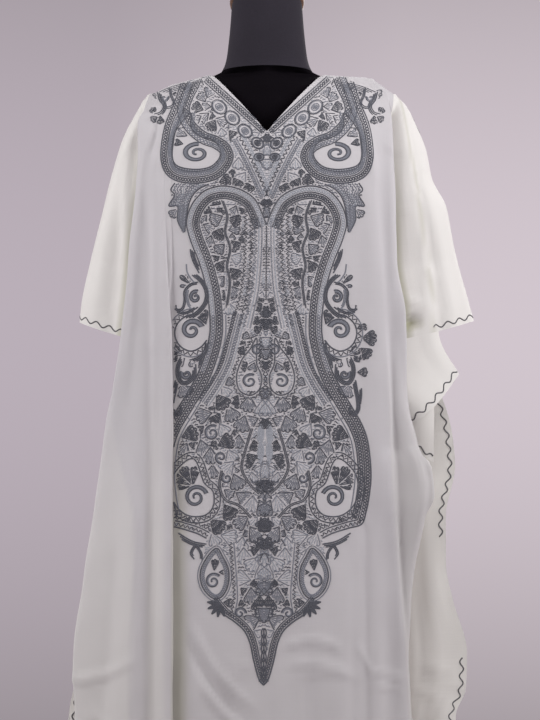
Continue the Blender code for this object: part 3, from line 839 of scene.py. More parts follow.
# The folds of the sleeves and of the open sides below them, in the same form.
SLEEVE_FOLDS = {
    -1: (
        (
            (1.356, -0.197, 0.0, 0.012, 0.005), (1.336, -0.2015, 0.003, 0.012, 0.005),
            (1.263, -0.2128, 0.0046, 0.014, 0.005), (1.206, -0.2143, 0.004, 0.014, 0.006),
            (1.11, -0.216, 0.0, 0.014, 0.006),
        ),
        (
            (1.35, -0.205, 0.0, 0.01, 0.008), (1.31, -0.216, 0.0034, 0.014, 0.008),
            (1.21, -0.24, 0.004, 0.02, 0.012), (1.08, -0.262, 0.0036, 0.022, 0.014),
            (1.02, -0.27, 0.002, 0.022, 0.014),
        ),
        (
            (1.24, -0.22, 0.0, 0.008, 0.01), (1.16, -0.228, -0.0034, 0.01, 0.014),
            (1.05, -0.236, -0.004, 0.014, 0.016), (1.01, -0.238, -0.003, 0.014, 0.016),
        ),
    ),
    1: (
        # the layer at the left lies over the one at the right
        (
            (1.392, 0.2, 0.0, 0.012, 0.004), (1.37, 0.205, 0.003, 0.014, 0.004),
            (1.32, 0.213, 0.0042, 0.016, 0.004), (1.2565, 0.2241, 0.0046, 0.018, 0.004),
            (1.184, 0.235, 0.0046, 0.02, 0.004), (1.139, 0.2431, 0.0046, 0.022, 0.004),
            (1.07, 0.2494, 0.005, 0.024, 0.005), (1.0, 0.253, 0.005, 0.024, 0.006),
        ),
        (
            (1.3, 0.23, 0.0, 0.008, 0.014), (1.24, 0.242, 0.0034, 0.01, 0.016),
            (1.12, 0.27, 0.004, 0.012, 0.018), (1.02, 0.286, 0.003, 0.014, 0.018),
        ),
        (
            (1.33, 0.202, 0.0, 0.008, 0.008), (1.24, 0.208, 0.0024, 0.008, 0.01),
            (1.12, 0.215, 0.0016, 0.01, 0.01), (1.08, 0.218, 0.0, 0.01, 0.01),
        ),
    ),
}
WING_FOLDS = {
    -1: (
        (
            (0.96, -0.22, 0.0, 0.014, 0.01), (0.84, -0.226, 0.003, 0.016, 0.01),
            (0.52, -0.246, 0.0044, 0.02, 0.012), (HEM_HEIGHT, -0.278, 0.006, 0.024, 0.014),
        ),
        (
            (0.56, -0.264, 0.0, 0.014, 0.014), (0.4, -0.276, 0.0036, 0.018, 0.016),
            (HEM_HEIGHT, -0.304, 0.005, 0.02, 0.016),
        ),
    ),
    1: (
        (
            (0.84, 0.234, 0.0, 0.01, 0.01), (0.76, 0.24, 0.0034, 0.01, 0.012),
            (0.6, 0.256, 0.005, 0.014, 0.014), (0.4, 0.266, 0.005, 0.016, 0.018),
            (HEM_HEIGHT, 0.288, 0.006, 0.018, 0.02),
        ),
        (
            (0.7, 0.224, 0.0, 0.008, 0.008), (0.62, 0.222, 0.003, 0.008, 0.008),
            (0.52, 0.226, 0.0034, 0.008, 0.01), (HEM_HEIGHT, 0.246, 0.004, 0.01, 0.012),
        ),
    ),
}


def fold_column(table, name, heights):
    """One column of a long fold's table, read smoothly at any heights."""
    return column((LONG_HEAD, *table), name, heights)


def bell_of(aside, left, right):
    """A ridge's profile: 1 on its line, falling to about 0 at its width on each side."""
    return np.exp(-((aside / (0.75 * np.where(aside < 0, left, right))) ** 2))


def folded(points, folds):
    """How far the long folds push each point out."""
    x, z = points[..., 0], points[..., 2]
    height = np.zeros(x.shape)
    for table in folds:
        at, size, left, right = (fold_column(table, name, z) for name in LONG_HEAD[1:])
        height += size * bell_of(x - at, left, right)
    return height


# %% Creases
# A crease's profile is a ridge or a trough that may fall off more steeply on one side. A row
# holds where it starts (x, z), where it ends (x, z), its bow, its two widths and its height.
FRONT_CREASES = (
    # left of the pleat
    (-0.29, 0.514, -0.19, 0.552, -0.01, 0.004, 0.012, 0.0034),
    (-0.262, 0.47, -0.2, 0.44, -0.004, 0.008, 0.012, 0.0026),
    (-0.215, 0.76, -0.262, 0.33, 0.006, 0.02, 0.026, -0.0036),
    (-0.15, 1.345, -0.166, 1.27, 0.003, 0.008, 0.01, 0.003),
    (-0.164, 1.345, -0.176, 1.29, 0.003, 0.006, 0.006, -0.003),
    (-0.196, 1.02, -0.16, 1.004, 0.003, 0.004, 0.006, 0.0012),
    # across the lower middle
    (-0.11, 0.598, -0.02, 0.482, -0.01, 0.004, 0.007, 0.0036),
    (-0.118, 0.586, -0.03, 0.462, -0.01, 0.006, 0.004, -0.003),
    (-0.1, 0.52, -0.014, 0.43, -0.006, 0.006, 0.01, 0.003),
    (-0.068, 0.548, -0.02, 0.542, 0.002, 0.003, 0.004, 0.0016),
    (-0.048, 0.53, -0.02, 0.532, 0.002, 0.003, 0.004, 0.0014),
    (0.02, 0.566, 0.112, 0.56, 0.014, 0.004, 0.01, 0.0026),
    (0.03, 0.54, 0.13, 0.52, 0.01, 0.005, 0.012, 0.0026),
    (0.028, 0.52, 0.104, 0.53, 0.004, 0.003, 0.005, 0.0014),
    (0.13, 0.57, 0.152, 0.53, 0.002, 0.004, 0.005, 0.0022),
    (0.152, 0.53, 0.204, 0.516, 0.002, 0.004, 0.006, 0.0024),
    (0.16, 0.506, 0.2, 0.5, 0.004, 0.003, 0.005, 0.0016),
    (0.13, 0.76, 0.152, 0.74, 0.004, 0.004, 0.006, 0.0012),
    # from the shoulder at the right
    (0.14, 1.35, 0.158, 1.25, 0.003, 0.008, 0.01, 0.0026),
    (0.182, 1.29, 0.186, 1.06, 0.002, 0.012, 0.008, 0.0014),
)
BACK_CREASES = (
    (-0.12, 1.3, -0.15, 0.9, 0.006, 0.014, 0.024, 0.006),
    (-0.1, 0.88, -0.12, 0.3, 0.004, 0.024, 0.012, 0.008),
    (0.1, 1.32, 0.136, 0.94, -0.006, 0.012, 0.024, 0.006),
    (0.11, 0.9, 0.15, 0.24, 0.006, 0.028, 0.012, 0.007),
    (-0.03, 1.12, 0.02, 0.42, 0.01, 0.014, 0.034, 0.006),
    (0.04, 0.7, 0.05, 0.12, 0.006, 0.012, 0.028, 0.007),
    (-0.07, 0.56, -0.06, 0.11, 0.006, 0.026, 0.012, 0.007),
    (-0.19, 0.76, -0.23, 0.14, 0.006, 0.012, 0.03, 0.007),
    (0.2, 0.6, 0.22, 0.11, 0.006, 0.026, 0.012, 0.007),
    (0.06, 1.24, -0.04, 1.15, 0.014, 0.01, 0.018, 0.003),
    (0.13, 0.62, 0.02, 0.52, 0.014, 0.008, 0.018, 0.003),
    (-0.13, 0.54, -0.03, 0.47, -0.012, 0.016, 0.008, 0.003),
)
SLEEVE_CREASES = {
    -1: (
        (-0.266, 1.086, -0.222, 1.062, 0.003, 0.004, 0.006, 0.0014),
        (-0.258, 1.13, -0.232, 1.096, 0.003, 0.004, 0.006, 0.0012),
        (-0.206, 1.332, -0.22, 1.29, 0.002, 0.004, 0.005, 0.0022),
    ),
    1: (
        (0.238, 1.128, 0.266, 1.106, 0.002, 0.003, 0.004, 0.0018),
        (0.25, 1.074, 0.272, 1.044, 0.001, 0.003, 0.004, 0.002),
        (0.204, 1.216, 0.224, 1.208, 0.002, 0.003, 0.004, 0.0014),
        (0.206, 1.08, 0.232, 1.07, 0.006, 0.01, 0.004, 0.004),
        (0.208, 1.046, 0.228, 1.048, 0.001, 0.01, 0.008, -0.011),
        (0.212, 1.036, 0.226, 1.016, 0.001, 0.003, 0.003, 0.003),
        (0.226, 1.036, 0.214, 1.022, 0.001, 0.003, 0.003, 0.0026),
        (0.242, 1.29, 0.224, 1.266, 0.001, 0.004, 0.004, 0.003),
    ),
}
WING_CREASES = {
    -1: (
        (-0.3, 0.49, -0.25, 0.52, 0.006, 0.006, 0.01, 0.0024),
    ),
    1: (
        (0.24, 0.52, 0.29, 0.48, 0.008, 0.004, 0.01, 0.0024),
        (0.224, 0.48, 0.262, 0.46, 0.004, 0.004, 0.008, 0.002),
    ),
}


def ease(distance, over):
    """0 at no distance and 1 beyond the given one, rising smoothly."""
    t = clamped(distance / over)
    return t * t * (3 - 2 * t)


def creased(points, creases):
    """How far the creases push each point out, as a height for each."""
    x, z = points[..., 0], points[..., 2]
    height = np.zeros(x.shape)
    for from_x, from_z, to_x, to_z, bow, left, right, high in creases:
        way = np.array([to_x - from_x, to_z - from_z])
        length = np.linalg.norm(way)
        way = way / length
        along = ((x - from_x) * way[0] + (z - from_z) * way[1]) / length
        aside = (z - from_z) * way[0] - (x - from_x) * way[1]
        aside = aside - bow * 4 * along * (1 - along)
        fade = ease(np.minimum(along + 0.12, 1.12 - along), 0.35)
        height += high * fade * bell_of(aside, left, right)
    return height


def uneven(points, size):
    """A slow, slight waviness over the whole cloth, which no hung cloth is without."""
    x, y, z = points[..., 0], points[..., 1], points[..., 2]
    return size * (
        np.sin(x * 31 + z * 9 + 0.6)
        + np.sin(x * 57 - z * 23 + y * 20 + 1.9)
        + 0.7 * np.sin(x * 90 + z * 41 + 3.1)
        + 0.5 * np.sin(z * 77 - x * 64 + 0.4)
    ) / 3.2


def outward(points):
    """The normal at each point of a piece, on the side that faces away from the form."""
    up = -np.gradient(points, axis=0)
    across = np.gradient(points, axis=1)
    normal = np.cross(across, up)
    return normal / np.maximum(np.linalg.norm(normal, axis=-1, keepdims=True), 1e-9)


# %% A sheet from rows of points
CLOTH = 0.0010  # how thick it is
SHARP = math.radians(60)  # an edge that turns more than this stays sharp


def set_uv(mesh, layer, places):
    """Gives each corner of a mesh the UV place of its vertex."""
    corners = np.empty(len(mesh.loops), int)
    mesh.loops.foreach_get("vertex_index", corners)
    layer.data.foreach_set("uv", places[corners].ravel())


def gaps(points, axis):
    """The distances from each point to the next, along the rows or down the columns."""
    return np.linalg.norm(np.diff(points, axis=axis), axis=-1)


def run_of(line):
    """The length run along a line, at each of its points."""
    return np.concatenate([[0.0], np.cumsum(gaps(line, 0))])


def cloth_piece(name, points, node, lit_through, in_fold):
    """A grid laid on rows of points, with its weave in metres and its thickness outward.

    The last two say for each point how much painted light it gets, for light shining through
    the cloth there, and how much painted shade, for lying deep in a fold.
    """
    rows, across = points.shape[:2]
    deselect_all()
    bpy.ops.mesh.primitive_grid_add(x_subdivisions=across - 1, y_subdivisions=rows - 1, size=1.0)
    piece = bpy.context.object
    piece.name = piece.data.name = name
    piece.data.vertices.foreach_set("co", points[::-1].ravel())
    u = np.concatenate([[0.0], np.cumsum(gaps(points, 1).mean(axis=0))])
    down = np.concatenate([[0.0], np.cumsum(gaps(points, 0).mean(axis=1))])
    weave = np.stack(np.meshgrid(u, -down), axis=-1)[::-1].reshape(-1, 2)
    set_uv(piece.data, piece.data.uv_layers[0], weave)
    for layer_name, amounts in (("lit_through", lit_through), ("in_fold", in_fold)):
        layer = piece.data.attributes.new(layer_name, "FLOAT", "POINT")
        amounts = clamped(np.broadcast_to(amounts, (rows, across)))
        layer.data.foreach_set("value", amounts[::-1].ravel())
    wall = piece.modifiers.new("thickness", "SOLIDIFY")
    wall.thickness = CLOTH
    wall.offset = 1.0
    bpy.ops.object.modifier_apply(modifier=wall.name)
    bpy.ops.object.shade_smooth_by_angle(angle=SHARP)
    piece.data.materials.append(cream)
    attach(piece, "root")
    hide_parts(node)
    print(name, rows, "by", across, "points,", len(piece.data.polygons), "faces")
    return piece


def closer(points):
    """The same sheet with a point added between each two of a row, on a smooth curve."""
    before = 2 * points[:, :1] - points[:, 1:2]
    beyond = 2 * points[:, -1:] - points[:, -2:-1]
    p = np.concatenate([before, points, beyond], 1)
    found = np.empty((len(points), 2 * points.shape[1] - 1, 3))
    found[:, ::2] = points
    found[:, 1::2] = (9 * (p[:, 1:-2] + p[:, 2:-1]) - p[:, :-3] - p[:, 3:]) / 16
    return found


def shaped(points, creases, waviness, from_top, from_sides=0.014, folds=()):
    """Points of a piece with its folds and creases, which fade towards the seams it shares."""
    across = np.concatenate([np.zeros((len(points), 1)), np.cumsum(gaps(points, 1), axis=1)], axis=1)
    aside = np.minimum(across, across[:, -1:] - across)
    below = points[:1, :, 2].max() - points[..., 2]
    fade = ease(aside, from_sides) * ease(below, from_top)
    push = (creased(points, creases) + folded(points, folds) + uneven(points, waviness)) * fade
    return points + outward(points) * push[..., None]


# %% [markdown]
# ## The cloth's finish
#
# The cloth is a smooth, dull cream weave. Seen close, its threads cross at about half a
# millimetre and a few run thicker. From a step away only its slight unevenness shows, so the
# weave is a small bump, and the colour varies slowly. Both follow the cloth's own measure.
# Over that colour go painted light, lighter and warmer where light would shine through a
# single layer, and painted shade, a dull yellow where a fold would lie in shade.

# %% Cream cloth
CREAM = (0.555, 0.527, 0.550)
CREAM_DARKER = (0.520, 0.492, 0.512)
# The next two are painted light and painted shade: tints that the colour is mixed towards, by two
# amounts that each piece holds.
LIT_THROUGH = (0.770, 0.742, 0.710)  # a single layer with light behind it is brighter and warmer
FOLD_SHADE = (0.330, 0.318, 0.215)  # and what light reaches a deep fold is a dull yellow
THREAD = 0.0009  # a thread and its gap


def cream_cloth():
    cloth = Finish("cream_cloth", {"Roughness": 0.82, "Sheen Weight": 0.12, "Sheen Roughness": 0.5})
    place = cloth.node("UVMap", {}, {})
    warp_bands, weft_bands = (cloth.bands(way, place, WAVE / THREAD, 0.6, 1.0) for way in ("X", "Y"))
    slubs = cloth.noise(cloth.stretched(place, (12.0, 260.0, 1.0)), 1.0, 3.0)
    warp = cloth.noise(cloth.stretched(place, (300.0, 10.0, 1.0)), 1.0, 2.0)
    slow = cloth.noise(place, 5.0, 3.0)
    colour = cloth.mix(slow * 0.7 + slubs * 0.3, CREAM, CREAM_DARKER)
    # painted light where light would shine through, then painted shade in the folds
    for layer_name, tint in (("lit_through", LIT_THROUGH), ("in_fold", FOLD_SHADE)):
        amount = cloth.node("Attribute", {"attribute_name": layer_name}, {}, out=2)
        colour = cloth.mix(amount, colour, tint)
    height = warp_bands * 0.5 + weft_bands * 0.5 + slubs * 0.8 + warp * 0.5
    return cloth.finish(colour, height, strength=0.35, distance=0.0005)


cream = cream_cloth()

# %% [markdown]
# ## Front, back, sleeves and wings
#
# These are the pieces of the ring, from the shoulder seam down. A piece ends where its
# neighbour starts, so that the folds run on across the seams. The back and the wings are
# finished like the front, because the kaftan is seen from all sides.

# %% Front and back
RIDGE_AT = -0.158  # the ridge beside the pleat's edge, which light shines through
DIP_AT = -0.170  # and the dip left of it
LOW_FROM = 1.00  # the light and shade of the long folds start at this height


def near(value, middle, over):
    """1 at a middle value, falling smoothly to 0 at the given distance from it."""
    return 1.0 - ease(abs(value - middle), over)


front_points = shaped(
    closer(panel_points("front", front_stations, front_top, 4)),
    FRONT_CREASES,
    0.0012,
    from_top=0.05,
    folds=FRONT_FOLDS,
)
front_x, front_y, front_z = (front_points[..., k] for k in range(3))
facet_line = fold_column(FACET, "at", front_z)
right_line = fold_column(RIGHT_LINE, "at", front_z)
pleat_edge = column(PLEAT, "edge", front_z)
low_down = ease(LOW_FROM - front_z, 0.30)
# Painted light along the facet left of the pleat and on the ridge beside its edge, as if shining
# through.
front_through = low_down * (
    0.40 * ease(facet_line - front_x, 0.008) + 0.45 * near(front_x, RIDGE_AT, 0.016)
)
# Painted shade beside the pleat's edge, in the dip, on the strip right of the long right line, and a
# little lower down.
pleat_shade = near(front_x, pleat_edge + 0.008, 0.022) * ease(front_x - pleat_edge + 0.004, 0.004)
right_fold_shade = ease(front_x - right_line, 0.005) * ease(1.05 - front_z, 0.25) * (front_y < 0)
front_fold_shade = (
    0.50 * pleat_shade * low_down
    + 0.16 * near(front_x, DIP_AT, 0.010) * low_down
    + 0.14 * right_fold_shade
    + 0.10 * ease(0.80 - front_z, 0.40)
)
front = cloth_piece(
    "front", front_points, "front_panel", front_through, front_fold_shade
)
back_points = shaped(
    closer(panel_points("back", back_stations, back_top, 3)), BACK_CREASES, 0.0020, from_top=0.12
)
# The back gets a little painted light, as if shining through it.
cloth_piece("back", back_points, "back_panel", 0.2, 0.0)

# %% Sleeves and wings
SIDES = {-1: "left", 1: "right"}
SEAM_FADES = {"from_top": 0.02, "from_sides": 0.006}
sleeve_grids, wing_grids = {}, {}
for side in SIDES:
    sleeve_grids[side] = shaped(
        sleeve_points(side, 9), SLEEVE_CREASES[side], 0.0010, folds=SLEEVE_FOLDS[side], **SEAM_FADES
    )
    for which in FACING:
        grid = wing_points(side, which, 5)
        wing_grids[side, which] = shaped(
            grid, WING_CREASES[side], 0.0014, folds=WING_FOLDS[side], **SEAM_FADES
        )
print("sleeve", sleeve_grids[1].shape, "wing", wing_grids[1, "front"].shape)

# %% Where the sleeves are in shade
HIDDEN_BEYOND = 1.035  # the fold in front hides the sleeve a little beyond its own edge
# Painted shade lies beside the body's fold on both sleeves, and on the right one in a small hollow at
# the cuff and beside the fold that overlaps.
HOLLOW = (0.223, 1.0426)  # the middle of a small hollow at the right cuff
HOLLOW_SIZE = (0.021, 0.014)
OVERLAP = 0.0036  # from the right sleeve's fold to the middle of the shade beside it


def beside_body(points, side, reach):
    """1 where a side piece comes out from behind the body's fold, falling to 0 over a distance."""
    edge = column(SIDE_FOLD[side], "front_out", points[..., 2])
    return near(np.abs(points[..., 0]), edge * HIDDEN_BEYOND, reach)


def sleeve_shade(side, points):
    """How much painted shade each point of a sleeve gets, beside the body and in its folds."""
    x, z = points[..., 0], points[..., 2]
    shade = 0.70 * beside_body(points, side, 0.013) * ease(1.36 - z, 0.20)
    if side < 0:
        return shade
    hollow = near(x, HOLLOW[0], HOLLOW_SIZE[0]) * near(z, HOLLOW[1], HOLLOW_SIZE[1])
    fold_line = fold_column(SLEEVE_FOLDS[side][0], "at", z)
    return shade + (0.75 * hollow + 0.34 * near(x, fold_line + OVERLAP, 0.004))


# %% The cloth of the sleeves and wings
# Sleeves and wings get painted light, as if shining through their single layer, the wings most. The
# sleeves also get their painted shade.
for side, word in SIDES.items():
    points = sleeve_grids[side]
    shade = sleeve_shade(side, points)
    cloth_piece(word + "_sleeve_cloth", points, word + "_sleeve", 0.78, shade)
    for which in FACING:
        name, node = word + "_wing_cloth_" + which, word + "_wing_" + which
        cloth_piece(name, wing_grids[side, which], node, 0.95, 0.0)

# %% Cascade
FLAP_TUCK = (0, 0.0024, 0.002)  # the lower flap starts this far behind and above the upper's edge
first, last = UPPER_FLAP_COLUMNS
upper_points = flap_points(sleeve_grids[1][-1, first:last], UPPER_FLAP, 18)
first, last = LOWER_FLAP_COLUMNS
lower_points = flap_points(upper_points[-1, first:last] + FLAP_TUCK, LOWER_FLAP, 8)
# The flaps get painted light, as if shining through them.
cloth_piece(
    "cascade_cloth_upper", upper_points, "right_cascade_upper", 0.80, 0.0
)
cloth_piece(
    "cascade_cloth_lower", lower_points, "right_cascade_lower", 0.9, 0.0
)

# %% [markdown]
# ## The embroidery chart
#
# The front carries a panel of grey chain stitch: two large paisleys on the chest, a pair of
# teardrops below them, and a bell of leaves that narrows to a point. On the real kaftan it is
# drawn on the cloth in chalk and stitched over freely. Here one half is drawn on a chart of
# squares, `across` from the middle and `down` from the neck, with a few helpers for the
# stitches that repeat. The other half is its mirror image. The large outlines follow points
# read off the picture, a little rounded. The leaves and rows that fill what is left
# between them are placed by rule.

# %% Chart and lines
SQUARE = 0.00146  # one square of the chart in metres, a little under a stitch
CHART_SIZE = (125, 620)  # squares
STITCH = 1.5  # squares between two points of a thread
taken = np.zeros((2 * CHART_SIZE[0], 2 * CHART_SIZE[1]), bool)  # where thread or bare cloth is
threads = {"dark": [], "mid": [], "light": []}


def smooth(points, closed=False):
    """A curve through a few points."""
    p = np.array(points, float)
    if closed:
        p = np.vstack([p[-1:], p, p[:2]])
    else:
        p = np.vstack([2 * p[0] - p[1], p, 2 * p[-1] - p[-2]])
    t = np.linspace(0, 1, 12, endpoint=False)[:, None]
    parts = []
    for a, b, c, d in zip(p, p[1:], p[2:], p[3:]):
        bend = (2 * a - 5 * b + 4 * c - d) * t**2 + (3 * b - a - 3 * c + d) * t**3
        parts.append(b + 0.5 * ((c - a) * t + bend))
    return np.vstack(parts + [p[-2:-1]])


def evenly(line, step):
    """The line again, with points at even steps."""
    run = run_of(line)
    places = np.linspace(0, run[-1], max(2, int(round(run[-1] / step)) + 1))
    return np.stack([np.interp(places, run, line[:, k]) for k in (0, 1)], axis=-1)


def aside(line, by):
    """The line moved sideways, to its right as it runs."""
    way = np.gradient(line, axis=0)
    way = way / np.maximum(np.linalg.norm(way, axis=1, keepdims=True), 1e-9)
    side = np.stack([-way[:, 1], way[:, 0]], axis=1)
    return line + side * np.broadcast_to(by, (len(line),))[:, None]


def cells_at(points):
    """The cells of the chart, two to a square each way, that the points lie in."""
    spots = np.round(np.asarray(points) * 2).astype(int)
    return tuple(np.clip(spots[..., k], 0, taken.shape[k] - 1) for k in (0, 1))


def take(points, reach):
    """Marks the chart round some points, so that nothing else is sewn there."""
    cells = int(math.ceil(reach * 2))
    for da in range(-cells, cells + 1):
        for dd in range(-cells, cells + 1):
            if da * da + dd * dd <= (reach * 2) ** 2:
                taken[cells_at(np.asarray(points) + (da / 2, dd / 2))] = True


def inside(points, outline):
    """Which points lie inside a closed outline."""
    x, y = points[:, 0], points[:, 1]
    found = np.zeros(len(points), bool)
    for (x0, y0), (x1, y1) in zip(outline, np.roll(outline, -1, axis=0)):
        if y0 != y1:
            crosses = (y0 > y) != (y1 > y)
            found ^= crosses & (x < (x1 - x0) * (y - y0) / (y1 - y0) + x0)
    return found


def keep_bare(outline):
    """Leaves the cloth bare inside an outline."""
    grid = np.indices(taken.shape).reshape(2, -1).T / 2.0
    low, high = outline.min(axis=0), outline.max(axis=0)
    grid = grid[((grid >= low) & (grid <= high)).all(axis=1)]
    take(grid[inside(grid, outline)], 0.3)


def sew(tone, line, width=1.4, reach=1.2, step=STITCH):
    """One thread along a line."""
    line = evenly(np.asarray(line, float), step)
    threads[tone].append((line, width))
    take(line, reach)


def sew_where_free(tone, line, width):
    """One thread along those stretches of a line that are still free, of two points or more."""
    free = ~taken[cells_at(line)]
    start = 0
    for k in range(1, len(line) + 1):
        if k == len(line) or free[k] != free[start]:
            if free[start] and k - start > 1:
                threads[tone].append((line[start:k], width))
            start = k


def thread_count():
    """How many threads there are so far, of all tones."""
    return sum(len(lines) for lines in threads.values())


# %% Stitches that follow a line
def wave(tone, line, at, size, pitch, width=1.2, phase=0.0, sharp=False):
    """A wavy or zigzag thread beside a line."""
    line = evenly(line, pitch / (4 if sharp else 6))
    turn = 2 * math.pi * run_of(line) / pitch + phase
    swing = np.arcsin(np.sin(turn)) * 2 / math.pi if sharp else np.sin(turn)
    path = aside(line, at + size * swing)
    threads[tone].append((path, width))
    take(path, 0.9)


def rope(tone, line, at, size, pitch, width=1.3):
    """Two threads that wind about each other and leave small eyes of cloth."""
    for phase in (0.0, math.pi):
        wave(tone, line, at, size, pitch, width, phase)
    take(aside(line, at), size)


def ring(tone, centre, radius, width, squash, turn, count):
    """A thread laid in a ring or an oval."""
    angles = np.linspace(0, 2 * math.pi, count + 1)
    c, s = math.cos(turn), math.sin(turn)
    x, y = radius * np.cos(angles), radius * squash * np.sin(angles)
    line = np.stack([centre[0] + c * x - s * y, centre[1] + s * x + c * y], axis=-1)
    threads[tone].append((line, width))
    take(line, 1.0)
    return line


def lanes(line, plan):
    """Several rows of stitches side by side: at, kind, tone and size for each."""
    for at, kind, tone, size in plan:
        if kind == "line":
            sew(tone, aside(line, at), width=size)
        elif kind == "zigzag":
            wave(tone, line, at, size, 2.5 * size, width=1.1, sharp=True)
        elif kind == "wave":
            wave(tone, line, at, size, 3.6 * size)
        elif kind == "rope":
            rope(tone, line, at, size, 3.5 * size)


# %% Leaves, fans, flowers and spirals
ROW_GAP = {"dark": 1.6, "mid": 2.1, "light": 2.9}  # squares between the threads of a filling


def heading(degrees):
    """A direction on the chart: 0 is outward, 90 down, 180 inward and 270 up."""
    return np.array([math.cos(math.radians(degrees)), math.sin(math.radians(degrees))])


def petal(tone, base, towards, length, width):
    """A pointed leaf, filled with rows of thread from its base to its edge."""
    way = heading(towards)
    beside = np.array([-way[1], way[0]])
    t = np.linspace(0.0, 1.0, 7)
    half = 0.5 * width * np.sin(math.pi * t**0.8) ** 0.8
    rows = max(1, round(width / 2.2))
    for share in np.linspace(-1, 1, 2 * rows):
        sew(tone, base + np.outer(length * t, way) + np.outer(half * share, beside), 1.3, 1.0)


def fan(tone, base, towards, length, spread, lobes):
    """A leaf with a scalloped dark edge, filled with rows of thread from one point."""

    def reach_at(shares):
        lobe = np.abs(np.sin(math.pi * lobes * (shares + 0.5)))
        return length * (0.82 + 0.18 * lobe**0.5) * (1 - 0.5 * shares * shares)

    shares = np.linspace(-0.5, 0.5, 8 * lobes + 1)
    ways = np.array([heading(towards + spread * share) for share in shares])
    scallops = ways * reach_at(shares)[:, None]
    edge = evenly(base + np.vstack([(0, 0), scallops, (0, 0)]), 1.2)
    rows = max(3, int(math.radians(spread) * length * 0.9 / ROW_GAP[tone]) + 1)
    lines = []
    for k, share in enumerate(np.linspace(-0.5, 0.5, rows)):
        end = float(reach_at(np.array([share]))[0]) - 0.8
        start = length * (0.10, 0.5, 0.28, 0.5)[k % 4]
        reach = np.linspace(start, end, max(3, int((end - start) / 2.0) + 1))
        lines.append(base + np.outer(reach, heading(towards + spread * share)))
    free = [line[~taken[cells_at(line)]] for line in lines]
    sew_where_free("mid" if tone == "light" else "dark", edge, 1.15)
    for line in free:
        if len(line) > 1:
            threads[tone].append((line, 1.15))
    for line in [*free, edge]:
        take(line, 1.3)


def fans(spread, lobes, rows):
    """Several fans of one kind, with base, towards, length and tone for each."""
    for base, towards, length, tone in rows:
        fan(tone, base, towards, length, spread, lobes)


def flower(centre, radius, squash=0.75, turn=-0.7, heart="mid"):
    """An oval of dark thread, a bare ring, and a filled heart."""
    ring("dark", centre, radius, 1.3, squash, turn, 16)
    ring("mid", centre, radius - 1.2, 0.9, squash, turn, 14)
    for share in (0.50, 0.28, 0.10):
        ring(heart, centre, radius * share, 1.3, squash, turn, 10)
    keep_bare(ring("dark", centre, radius + 0.1, 0.5, squash, turn, 16))


def spiral(centre, radius, turns, start, hand=1, squash=1.0, tones=("dark", "mid")):
    """A scroll that winds in to a dot, of one or more threads side by side."""
    t = np.linspace(0, 1, max(12, int(turns * 20)))
    angle = math.radians(start) + hand * 2 * math.pi * turns * t
    for k, tone in enumerate(tones):
        r = (radius - 1.5 * k) * (1 - 0.86 * t)
        ways = np.stack([np.cos(angle), squash * np.sin(angle)], axis=-1)
        sew(tone, np.asarray(centre) + r[:, None] * ways, 1.6, step=1.1)


def stem(tone, points, rows=(0.0,), width=1.5):
    """A stalk of one or more rows side by side, each a little shorter than the one before."""
    line = evenly(smooth(points), STITCH)
    for k, at in enumerate(rows):
        sew(tone, aside(line, at)[k : len(line) - 2 * k], width)


def slow_change(points, seed):
    """A smooth pattern between about -1 and 1, different for each seed."""
    a, d = points[..., 0], points[..., 1]
    return (
        np.sin(a / 7.1 + 1.7 * seed + 0.8 * np.sin(d / 9.0))
        + np.sin(d / 8.3 + 2.9 * seed + 0.9 * np.sin(a / 6.0))
        + np.sin((a + d) / 5.2 + seed)
    ) / 3


MOST_TAKEN = 0.14  # a leaf may lie over this share of stitches that are there already


def leafage(outline, sizes, towards, turning, tones):
    """Fills an area with fans, the largest first, wherever a whole one still fits.

    Each fan has a short curved stem. They turn slowly from one to the next.
    """
    disc = np.array([(a, d) for a in range(-8, 9) for d in range(-8, 9) if a * a + d * d <= 64]) / 8
    count = 0
    for size in sizes:
        grid = np.indices((CHART_SIZE[0] // 2, CHART_SIZE[1] // 2)).reshape(2, -1).T * 2 + 0.5
        grid = grid[inside(grid, outline)]
        order = np.argsort(slow_change(grid, 3) + 0.05 * np.sin(grid[:, 0] * 3 + grid[:, 1]))
        for spot in grid[order]:
            if taken[cells_at(spot + disc * size)].mean() > MOST_TAKEN:
                continue
            turned = towards + turning * float(slow_change(spot, 5)) * 1.6
            way = heading(turned)
            base = spot - way * size * 0.95
            tone = tones[int(2.5 + 2.9 * float(slow_change(spot * 2.3, 8))) % len(tones)]
            fan(tone, base, turned, size * 2.2, 74, 4 if size > 6 else 3)
            beside = np.array([-way[1], way[0]])
            bends = (base - way * size * 0.6 + beside * 1.5, base - way * size + beside * 4.5)
            sew_where_free("dark", evenly(smooth((base, *bends)), STITCH), 1.3)
            count += 1
    return count


# %% [markdown]
# ## One half of the design, from the neck down
#
# The largest lines come first, then the rows of stitches that follow them, then leaves and
# flowers inside, and at last the ground, which is filled wherever the chart is still free.

# %% Neck border and chest paisleys
NECK_LINE = ((58.5, 0), (0, 52))
PAISLEY = (
    (86, 6), (93, 27), (101, 46), (105, 64), (106, 82), (101, 97), (89, 105), (70, 107),
    (51, 103), (39, 93), (34, 81), (38, 69), (49, 61), (62, 56), (73, 46), (78, 34), (75, 23),
    (70, 13), (66, 3),
)
PAISLEY_FIELD = (
    (77, 38), (86, 49), (92, 60), (94, 76), (90, 88), (74, 92), (58, 90), (49, 82), (48, 73),
    (55, 65), (66, 62), (75, 56), (78, 47),
)

neck_edge = smooth(NECK_LINE)
lanes(neck_edge, ((-1.0, "line", "dark", 1.4), (-4.2, "rope", "dark", 1.6), (-7.4, "line", "dark", 1.3)))
keep_bare(np.vstack([aside(neck_edge, 0.5), aside(neck_edge, -8.6)[::-1]]))

